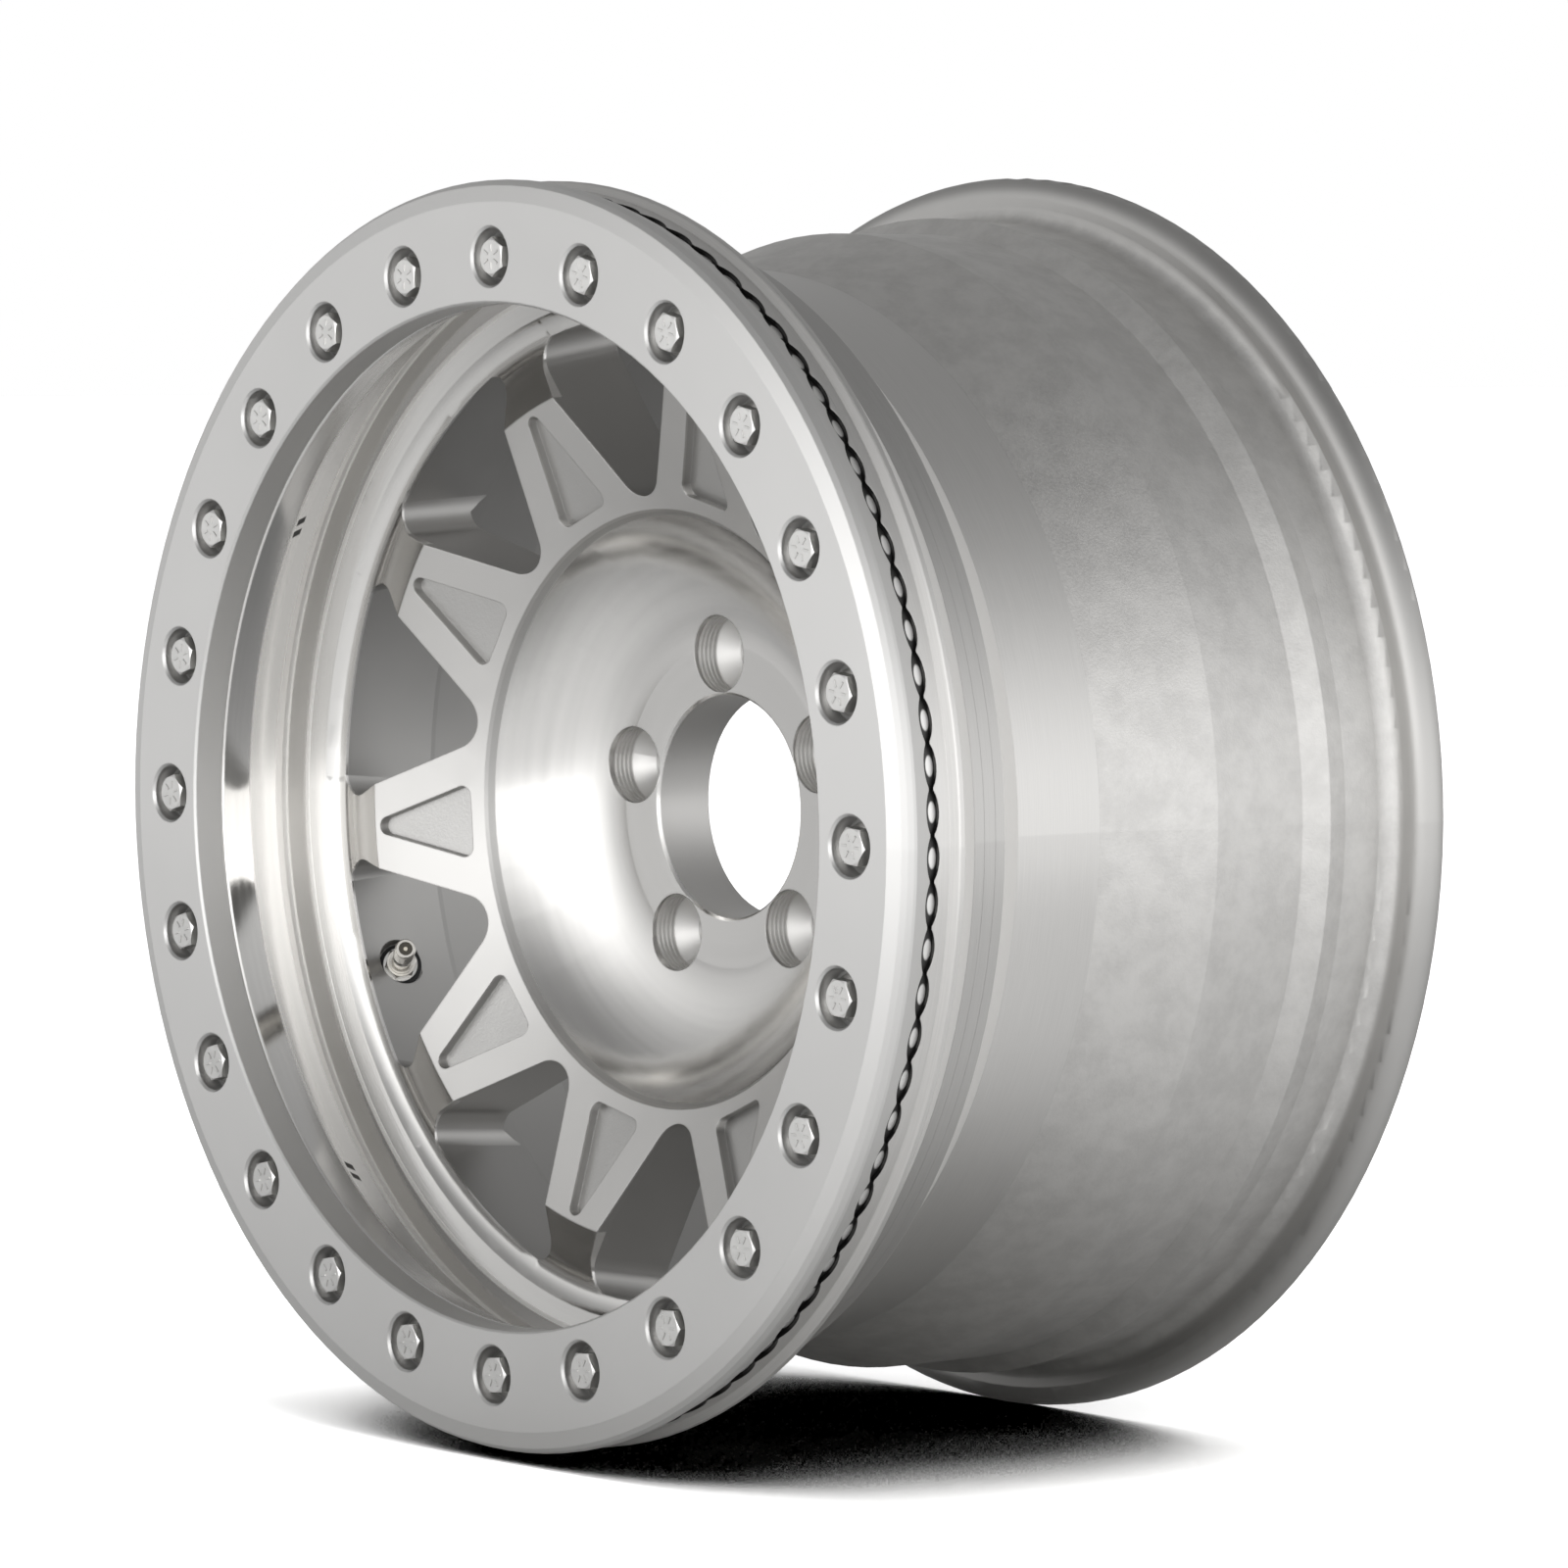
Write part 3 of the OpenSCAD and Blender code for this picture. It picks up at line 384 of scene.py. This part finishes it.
    turned_share = graph.math("ADD", lip, graph.math("ADD", bowl, front), clamp=True)
    sanded_share = graph.math("ADD", rear, pocket, clamp=True)
    fine = graph.math("ADD", graph.times(sanded_share, sand), graph.times(grain, 0.10))
    height = graph.math("ADD", graph.times(lathe_lines, turned_share, 0.12), fine)
    finish_surface(graph, shade, rough, height, FORGED_RELIEF, looks.edge_radius * MM, turned, 0.45)


def ring_finish(material, looks):
    """Turned ring: fine concentric lines on the face, brighter bevels, painted shade on the pocket walls and
    on the scallop walls, and a painted reflection of the spigot, a bright oval in the middle of each scallop."""
    graph = Graph(material)
    turned = Turned(graph)
    radius, depth = turned.radius, turned.depth
    lines = graph.noise(turned.lathe, RING_LATHE_SCALE, 1.0, 0.65)
    clouds = graph.noise(turned.place, 18.0, 2.0, 0.6)
    grain = graph.noise(turned.place, 3000.0, 0.0)
    bevel = graph.math("MAXIMUM", graph.ramp(radius, *RING_OUTER_BEVEL),
                       graph.ramp(radius, *RING_INNER_BEVEL, 1.0, 0.0))
    rough = graph.spread(lines, looks.ring_roughness, 0.85, 1.15)
    rough = graph.blend(bevel, rough, looks.polish_roughness * 2.8)
    base = looks.ring_colour
    shade = graph.shades(clouds, base, 0.96, 1.04)
    shade = graph.tint(bevel, shade, scaled(base, 1.03))
    # Painted shade on the walls of the ring's pockets
    inner = graph.times(graph.ramp(depth, *RING_STEP_DEPTH), graph.between(radius, *RING_STEP_RADIUS, 0.5))
    shade = graph.tint(inner, shade, scaled(base, 0.6))

    # Painted reflection of the spigot, an oval: the squares of the distances from the scallop's middle, along
    # and across, each against its size
    turn = graph.math("SUBTRACT", turned.angle, math.radians(SCALLOP_ANGLE))
    shift = graph.math("ARCCOSINE", graph.math("COSINE", graph.times(turn, SCALLOP_COUNT)))
    shift = graph.times(shift, SPIGOT_RADIUS / SCALLOP_COUNT / GROOVE_REFLECTION_SIZE[0])
    across = graph.math("SUBTRACT", depth, GROOVE_REFLECTION_DEPTH)
    across = graph.math("DIVIDE", across, GROOVE_REFLECTION_SIZE[1])
    oval = graph.math("ADD", graph.times(shift, shift), graph.times(across, across))
    patch = graph.ramp(oval, 0.65, 1.25, 1.0, 0.0)
    # Painted shade on the scallop walls, round the painted reflection of the spigot
    groove = graph.times(graph.between(depth, *RING_GROOVE, 0.1),
                         graph.between(radius, SPIGOT_RADIUS - 8.0, GROOVE_TOP, 0.1))
    shade = graph.tint(groove, shade, graph.tint(patch, scaled(base, 0.11), scaled(base, 1.35)))
    rough = graph.blend(groove, rough, 0.4)
    height = graph.math("ADD", graph.times(lines, 0.3), graph.times(grain, 0.3))
    finish_surface(graph, shade, rough, height, RING_RELIEF, looks.edge_radius * MM, turned, 0.5)


def plated_finish(material, looks):
    """Zinc plated steel with faint clouds and fine pits."""
    graph = Graph(material)
    place = graph.place()
    clouds = graph.noise(place, 160.0, 3.0, 0.6)
    pits = graph.noise(place, 4000.0, 3.0, 0.7)
    rough = graph.spread(clouds, looks.plated_roughness, 0.75, 1.3)
    shade = graph.shades(clouds, looks.plated_colour, 0.85, 1.1)
    finish_surface(graph, shade, rough, pits, PLATED_RELIEF, 0.3 * MM)


def valve_finish(material, looks):
    """Nickel plated valve brass with faint clouds and fine pits."""
    graph = Graph(material)
    place = graph.place()
    clouds = graph.noise(place, 300.0)
    pits = graph.noise(place, 5000.0)
    rough = graph.spread(clouds, looks.valve_roughness, 0.8, 1.25)
    shade = graph.shades(clouds, looks.valve_colour, 0.94, 1.06)
    finish_surface(graph, shade, rough, pits, VALVE_RELIEF, 0.2 * MM)


def brass_finish(material, looks):
    """Plain brass of the valve's core, its pin bright and the body round it darkened by oil and painted
    shade. The distance from the valve's axis is the length of the cross product of the axis and the way from
    the valve's foot."""
    graph = Graph(material)
    place = graph.place()
    clouds = graph.noise(place, 700.0)
    seat, along = valve_axes()[:2]
    away = graph.vector("SUBTRACT", place, tuple(seat)).outputs[0]
    off_axis = graph.vector("CROSS_PRODUCT", away, tuple(along)).outputs[0]
    distance = graph.vector("LENGTH", off_axis).outputs["Value"]
    # Oil and painted shade darken the core's body round its pin
    shade_and_oil = graph.ramp(distance, PIN_EDGE[0] * MM, PIN_EDGE[1] * MM)
    shade = graph.shades(clouds, looks.brass_colour, 0.9, 1.1)
    shade = graph.tint(shade_and_oil, shade, scaled(looks.brass_colour, 0.12))
    rough = graph.blend(clouds, 0.2, 0.32)
    finish_surface(graph, shade, rough, clouds, VALVE_RELIEF, 0.1 * MM)


def rubber_finish(material, looks):
    """Matte black rubber with a fine moulded grain."""
    graph = Graph(material)
    grain = graph.noise(graph.place(), 2500.0, 3.0, 0.7)
    shade = graph.shades(grain, looks.rubber_colour, 0.8, 1.3)
    rough = graph.blend(grain, 0.55, 0.75)
    finish_surface(graph, shade, rough, grain, RUBBER_RELIEF, 0.2 * MM, metal=0.0)


FINISHES = {
    "forged_aluminium": forged_finish,
    "ring_aluminium": ring_finish,
    "plated_steel": plated_finish,
    "valve_metal": valve_finish,
    "core_brass": brass_finish,
    "black_rubber": rubber_finish,
}


def finished_material(slot):
    """The finish of one material slot, made once."""
    name = "finish_" + slot
    material = bpy.data.materials.get(name)
    if material is None:
        material = bpy.data.materials.new(name)
        FINISHES[slot](material, bpy.context.scene.wheel_looks)
    return material


def valve_axes():
    """Foot of the valve and its three directions: out of its seat, and two across."""
    angle, tilt = math.radians(VALVE_ANGLE), math.radians(VALVE_TILT)
    out = np.array([math.cos(angle), 0.0, math.sin(angle)])
    seat = out * VALVE_SEAT[0] * MM + np.array([0.0, VALVE_SEAT[1] * MM - HALF_WIDTH, 0.0])
    along = -out * math.cos(tilt) - np.array([0.0, math.sin(tilt), 0.0])
    side = np.cross(along, out)
    side /= np.linalg.norm(side)
    return seat, along, side, np.cross(along, side)


def mesh_object(name, points, quads, smooth=True):
    """Puts computed points and faces into a new object at the origin."""
    mesh = bpy.data.meshes.new(name)
    mesh.from_pydata(points.tolist(), [], quads.tolist())
    mesh.validate()
    mesh.polygons.foreach_set("use_smooth", np.full(len(mesh.polygons), smooth))
    made = bpy.data.objects.new(name, mesh)
    bpy.context.scene.collection.objects.link(made)
    return made


class WheelLooks(bpy.types.PropertyGroup):
    """Colours and roughness of the wheel's finishes."""

    alloy_colour: FloatVectorProperty(
        name="Alloy", description="Colour of the bare forged alloy", subtype="COLOR", size=3,
        min=0, max=1, default=(0.63, 0.622, 0.608))
    ring_colour: FloatVectorProperty(
        name="Ring", description="Colour of the turned clamp ring", subtype="COLOR", size=3,
        min=0, max=1, default=(0.66, 0.655, 0.645))
    pocket_colour: FloatVectorProperty(
        name="Pocket floor", description="Colour of the milled pocket floors", subtype="COLOR", size=3,
        min=0, max=1, default=(0.46, 0.455, 0.445))
    plated_colour: FloatVectorProperty(
        name="Bolts", description="Colour of the plated steel", subtype="COLOR", size=3,
        min=0, max=1, default=(0.72, 0.715, 0.70))
    valve_colour: FloatVectorProperty(
        name="Valve", description="Colour of the plated valve", subtype="COLOR", size=3,
        min=0, max=1, default=(0.68, 0.66, 0.62))
    brass_colour: FloatVectorProperty(
        name="Brass", description="Colour of the valve's core", subtype="COLOR", size=3,
        min=0, max=1, default=(0.75, 0.70, 0.60))
    rubber_colour: FloatVectorProperty(
        name="Rubber", description="Colour of the seals", subtype="COLOR", size=3,
        min=0, max=1, default=(0.025, 0.025, 0.026))
    polish_roughness: FloatProperty(
        name="Polished", description="Roughness of the polished lip and bowl", min=0.02, max=1, default=0.16)
    spoke_roughness: FloatProperty(
        name="Spoke faces", description="Roughness of the spokes' front faces", min=0.05, max=1, default=0.34)
    pocket_roughness: FloatProperty(
        name="Pocket floors", description="Roughness of the pocket floors", min=0.05, max=1, default=0.45)
    milled_roughness: FloatProperty(
        name="Milled walls", description="Roughness of window walls and the barrel's inside", min=0.05, max=1,
        default=0.42)
    turned_roughness: FloatProperty(
        name="Turned barrel", description="Roughness of the front of the barrel", min=0.05, max=1,
        default=0.34)
    sanded_roughness: FloatProperty(
        name="Sanded barrel", description="Roughness of the rear of the barrel", min=0.05, max=1,
        default=0.50)
    ring_roughness: FloatProperty(
        name="Ring face", description="Roughness of the ring's face", min=0.05, max=1, default=0.33)
    plated_roughness: FloatProperty(
        name="Plated steel", description="Roughness of the bolts", min=0.05, max=1, default=0.30)
    valve_roughness: FloatProperty(
        name="Valve", description="Roughness of the valve's metal", min=0.05, max=1, default=0.22)
    edge_radius: FloatProperty(
        name="Edge rounding", description="Rounding of the edges in the shading, in millimetres",
        min=0.0, max=2, default=0.7)


class ThreadSizes(bpy.types.PropertyGroup):
    """Sizes of the cap thread on the valve's tip."""

    core_radius: FloatProperty(
        name="Tip radius", description="Radius of the tip that carries the thread", unit="LENGTH",
        default=3.85 * MM, min=3 * MM, max=5 * MM)
    pitch: FloatProperty(
        name="Pitch", description="Pitch of the cap thread", unit="LENGTH",
        default=0.8 * MM, min=0.5 * MM, max=1.2 * MM)
    ridge: FloatProperty(
        name="Ridge height", description="Height of the thread on the tip", unit="LENGTH",
        default=0.22 * MM, min=0.05 * MM, max=0.5 * MM)
    start: FloatProperty(
        name="Start", description="Distance of the thread's start from the valve's seat", unit="LENGTH",
        default=18.6 * MM, min=15 * MM, max=24 * MM)
    turns: IntProperty(name="Turns", description="Number of turns", default=11, min=4, max=13)


class StudioSizes(bpy.types.PropertyGroup):
    """Floor, surroundings, lamps and camera of the studio."""

    floor_gap: FloatProperty(
        name="Floor gap", description="Room between the wheel and the floor", unit="LENGTH",
        default=0.2 * MM, min=0, max=0.01)
    floor_colour: FloatVectorProperty(
        name="Floor", description="Colour of the floor as it lights the wheel", subtype="COLOR", size=3,
        min=0, max=1, default=(0.50, 0.50, 0.495))
    floor_share: FloatProperty(
        name="Floor share", description="Brightness of the near floor against the horizon, in reflections",
        min=0, max=1, default=0.55)
    floor_gain: FloatProperty(
        name="Floor gain", description="Brightness of the floor as the camera sees it",
        min=1, max=6, default=2.6)
    near_level: FloatProperty(
        name="Pale side", description="Brightness of the horizon on the pale side", min=0, max=4, default=1.6)
    far_level: FloatProperty(
        name="Dark side", description="Brightness of the horizon on the dark side",
        min=0, max=4, default=0.38)
    ceiling_level: FloatProperty(
        name="Ceiling", description="Brightness of the ceiling", min=0, max=4, default=0.29)
    glow_level: FloatProperty(
        name="Front glow", description="Brightness that the front adds to the horizon",
        min=0, max=6, default=0.6)
    camera_place: FloatVectorProperty(
        name="Camera place", description="Where the camera stands", subtype="TRANSLATION", size=3,
        default=(2.2605, -1.8396, 0.1761))
    camera_view: FloatVectorProperty(
        name="Camera direction", description="Where the camera looks", subtype="DIRECTION", size=3,
        default=(-0.77246, 0.63244, -0.05763))
    focal_length: FloatProperty(
        name="Focal length", description="Focal length in millimetres", default=179.06, min=20, max=400)


class WHEEL_OT_finishes(bpy.types.Operator):
    """Give every piece of the wheel its finish"""

    bl_idname = "wheel.finishes"
    bl_label = "Metal finishes"

    def execute(self, context):
        slots = {part["node"]: part["material_slot"] for part in frame["record"]["subparts"]}
        for node, piece in frame["nodes"].items():
            if not piece.material_slots:
                piece.data.materials.append(None)
            for place in piece.material_slots:
                place.material = finished_material(slots[node])
        return {"FINISHED"}


STEPS_A_TURN = 40


class WHEEL_OT_cap_thread(bpy.types.Operator):
    """Wind the cap thread round the valve's tip"""

    bl_idname = "wheel.cap_thread"
    bl_label = "Valve cap thread"

    def execute(self, context):
        # A helix: at angle t the ridge's four section points stand at the tip's radius, sunk a
        # little, or raised by the ridge height, and the whole section climbs one pitch a turn.
        # The ridge fades out over the first and the last quarter turn.
        sizes = context.scene.wheel_thread
        seat, along, side, across = valve_axes()
        steps = sizes.turns * STEPS_A_TURN + 1
        turn = np.linspace(0.0, 2 * math.pi * sizes.turns, steps)[:, None]
        fade = np.clip(np.minimum(turn, turn[-1] - turn) / (0.5 * math.pi), 0.0, 1.0)
        sunk = sizes.core_radius - 0.08 * MM
        top = sizes.core_radius + sizes.ridge * fade - 0.02 * MM * (1 - fade)
        radius = np.hstack([np.full_like(turn, sunk), top, top, np.full_like(turn, sunk)])
        shift = sizes.pitch * np.array([[-0.42, -0.10, 0.10, 0.42]])
        climb = sizes.start + sizes.pitch * turn / (2 * math.pi) + shift
        points = (seat + climb[..., None] * along
                  + (radius * np.cos(turn))[..., None] * side
                  + (radius * np.sin(turn))[..., None] * across).reshape(-1, 3)
        row = (np.arange(steps - 1) * 4)[:, None]
        corner = np.arange(4)[None, :]
        following = (corner + 1) % 4
        ring = [row + corner, row + following, row + following + 4, row + corner + 4]
        quads = np.stack(ring, -1).reshape(-1, 4)
        last = (steps - 1) * 4
        caps = np.array([[3, 2, 1, 0], [last, last + 1, last + 2, last + 3]])
        thread = mesh_object("valve_cap_thread", points, np.vstack([quads, caps]), smooth=False)
        thread.data.materials.append(finished_material("valve_metal"))
        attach(thread, "rim")
        return {"FINISHED"}


# Where the surroundings are pale and where they glow: azimuth and elevation in degrees
PALE_SIDE = (50.0, 0.0)
FRONT_GLOW = (8.0, 6.0)
# The floor: reach of its open sky, the sky's share at which the camera sees shadow turn into white, and
# distances in metres at which its own light takes over and at which it reaches the horizon's brightness
SKY_REACH = 0.6
SHADOW_EDGE = (0.30, 0.47)
FLOOR_LIGHT = (0.02, 0.4)
FLOOR_HORIZON = (0.4, 3.6)
FLOOR_GLOW = (0.8, 4.0)


def heading(azimuth, elevation):
    """Unit vector towards an azimuth, 0 in front of the ring and 90 to its right, and an elevation."""
    a, e = math.radians(azimuth), math.radians(elevation)
    return Vector((math.sin(a) * math.cos(e), -math.cos(a) * math.cos(e), math.sin(e)))


def horizon_level(graph, sizes, direction):
    """Brightness of the surroundings at the horizon: pale on one side, with a glow in front of the ring."""

    def towards(azimuth, elevation):
        return graph.vector("DOT_PRODUCT", direction, heading(azimuth, elevation)).outputs["Value"]

    side = graph.ramp(towards(*PALE_SIDE), -1.0, 0.75, sizes.far_level, sizes.near_level)
    glow = graph.ramp(towards(*FRONT_GLOW), 0.72, 0.98, 0.0, sizes.glow_level)
    return side, glow


def floor_material(sizes):
    """Pale floor: the camera sees it raised to white with the wheel's shadow kept and deepened by painted
    shadow, the wheel sees it plain and, farther off, as bright as the horizon behind it, its glow darkened
    near the wheel by painted shade."""
    material = bpy.data.materials.new("finish_floor")
    material.cycles.emission_sampling = "NONE"
    graph = Graph(material)

    def open_sky(samples):
        # Each branch has its own reading of the open sky, so rays that bounce take the cheap one
        return graph.add("ShaderNodeAmbientOcclusion", {"Distance": SKY_REACH}, samples=samples).outputs["AO"]

    rays = graph.add("ShaderNodeLightPath")
    # Painted shadow: the floor's colour for the camera darkens where its open sky is small, round the wheel
    lift = graph.ramp(open_sky(8), *SHADOW_EDGE, 0.0, sizes.floor_gain)
    tone = graph.add("ShaderNodeCombineXYZ", {"X": lift, "Y": lift, "Z": lift}).outputs[0]
    seen = graph.add("ShaderNodeBsdfDiffuse", {"Color": tone})
    plain = graph.add("ShaderNodeBsdfDiffuse", {"Color": colour(sizes.floor_colour)})
    flat = graph.vector("MULTIPLY", graph.place(), (1.0, 1.0, 0.0)).outputs[0]
    distance = graph.vector("LENGTH", flat).outputs["Value"]
    side, glow = horizon_level(graph, sizes, graph.vector("NORMALIZE", flat).outputs[0])
    share = graph.ramp(distance, *FLOOR_HORIZON, sizes.floor_share, 1.0)
    glow = graph.times(glow, graph.ramp(distance, *FLOOR_GLOW))
    level = graph.math("ADD", graph.times(side, share), glow)
    # Painted shade: the floor's glow darkens where its open sky is small, near the wheel
    level = graph.times(level, graph.ramp(open_sky(1), 0.1, 0.7, 0.15, 1.0))
    bright = graph.add("ShaderNodeEmission", {"Strength": level})
    lit = graph.add("ShaderNodeMixShader", {
        0: graph.ramp(distance, *FLOOR_LIGHT), 1: plain.outputs[0], 2: bright.outputs[0]})
    both = graph.add("ShaderNodeMixShader", {
        0: rays.outputs["Is Camera Ray"], 1: lit.outputs[0], 2: seen.outputs[0]})
    out = graph.add("ShaderNodeOutputMaterial")
    graph.tree.links.new(both.outputs[0], out.inputs["Surface"])
    return material


def studio_world(sizes):
    """White to the camera. The wheel sees a pale band at the horizon, brightest in front, and dim above."""
    world = bpy.context.scene.world or bpy.data.worlds.new("studio")
    bpy.context.scene.world = world
    graph = Graph(world)
    rays = graph.add("ShaderNodeLightPath")
    direction = graph.add("ShaderNodeTexCoord").outputs["Generated"]
    height = graph.add("ShaderNodeSeparateXYZ", {"Vector": direction}).outputs["Z"]

    side, glow = horizon_level(graph, sizes, direction)
    level = graph.blend(graph.ramp(height, 0.04, 0.92), graph.math("ADD", side, glow), sizes.ceiling_level)
    seen = graph.math("MAXIMUM", rays.outputs["Is Camera Ray"], rays.outputs["Is Transmission Ray"])
    level = graph.blend(seen, level, 1.0)
    light = graph.add("ShaderNodeBackground", {"Color": (1.0, 1.0, 1.0, 1.0), "Strength": level})
    out = graph.add("ShaderNodeOutputWorld")
    graph.tree.links.new(light.outputs[0], out.inputs["Surface"])


FLOOR_REACH = 40.0
# Lamps: name, azimuth and elevation from the wheel in degrees, distance, width, height, power, seen in metal
LAMPS = (
    ("lamp_floor", 0.0, 84.0, 2.4, 1.2, 1.2, 16.0, False),
    ("lamp_key", 5.0, 10.0, 3.2, 0.7, 0.9, 5.0, True),
)


class WHEEL_OT_studio(bpy.types.Operator):
    """Build the floor, the surroundings, the lamps and the camera"""

    bl_idname = "wheel.studio"
    bl_label = "Studio"

    def execute(self, context):
        sizes = context.scene.wheel_studio
        level = CAD_LOW.z - sizes.floor_gap
        square = np.array([[-1.0, -1.0], [1.0, -1.0], [1.0, 1.0], [-1.0, 1.0]])
        corners = np.column_stack([square * FLOOR_REACH, np.full(4, level)])
        floor = mesh_object("floor", corners, np.array([[0, 1, 2, 3]]), smooth=False)
        floor.data.materials.append(floor_material(sizes))
        studio_world(sizes)
        for name, azimuth, elevation, distance, width, height, power, in_metal in LAMPS:
            away = heading(azimuth, elevation)
            data = bpy.data.lights.new(name, "AREA")
            data.shape, data.size, data.size_y, data.energy = "RECTANGLE", width, height, power
            lamp = bpy.data.objects.new(name, data)
            lamp.location = away * distance
            lamp.rotation_euler = (-away).to_track_quat("-Z", "Y").to_euler()
            lamp.visible_glossy = in_metal
            context.scene.collection.objects.link(lamp)
        lens = bpy.data.cameras.new("camera")
        lens.sensor_width, lens.lens = 36.0, sizes.focal_length
        lens.clip_start, lens.clip_end = 0.05, 200.0
        camera = bpy.data.objects.new("camera", lens)
        camera.location = sizes.camera_place
        camera.rotation_euler = Vector(sizes.camera_view).to_track_quat("-Z", "Y").to_euler()
        context.scene.collection.objects.link(camera)
        context.scene.camera = camera
        context.scene.view_settings.view_transform = "Standard"
        return {"FINISHED"}


class WHEEL_PT_panel(bpy.types.Panel):
    """Lists the wheel's steps and settings"""

    bl_idname = "WHEEL_PT_panel"
    bl_label = "Beadlock wheel"
    bl_space_type = "VIEW_3D"
    bl_region_type = "UI"
    bl_category = "Wheel"

    def draw(self, context):
        layout = self.layout
        for step in STEPS:
            layout.operator(step.bl_idname)
        for group in (context.scene.wheel_looks, context.scene.wheel_thread, context.scene.wheel_studio):
            box = layout.box()
            for key in group.__annotations__:
                box.prop(group, key)


STEPS = (WHEEL_OT_finishes, WHEEL_OT_cap_thread, WHEEL_OT_studio)
GROUPS = {"wheel_looks": WheelLooks, "wheel_thread": ThreadSizes, "wheel_studio": StudioSizes}


def register():
    """Adds the classes and their settings to the scene."""
    for group in GROUPS.values():
        bpy.utils.register_class(group)
    for step in STEPS:
        bpy.utils.register_class(step)
    bpy.utils.register_class(WHEEL_PT_panel)
    for name, group in GROUPS.items():
        setattr(bpy.types.Scene, name, PointerProperty(type=group))


def unregister():
    """Takes the settings and classes away again."""
    for name in GROUPS:
        delattr(bpy.types.Scene, name)
    bpy.utils.unregister_class(WHEEL_PT_panel)
    for step in reversed(STEPS):
        bpy.utils.unregister_class(step)
    for group in GROUPS.values():
        bpy.utils.unregister_class(group)


def main():
    """Dresses the wheel: its finishes, the valve's cap thread and the studio."""
    register()
    bpy.ops.wheel.finishes()
    bpy.ops.wheel.cap_thread()
    bpy.ops.wheel.studio()


if __name__ == "__main__":
    main()
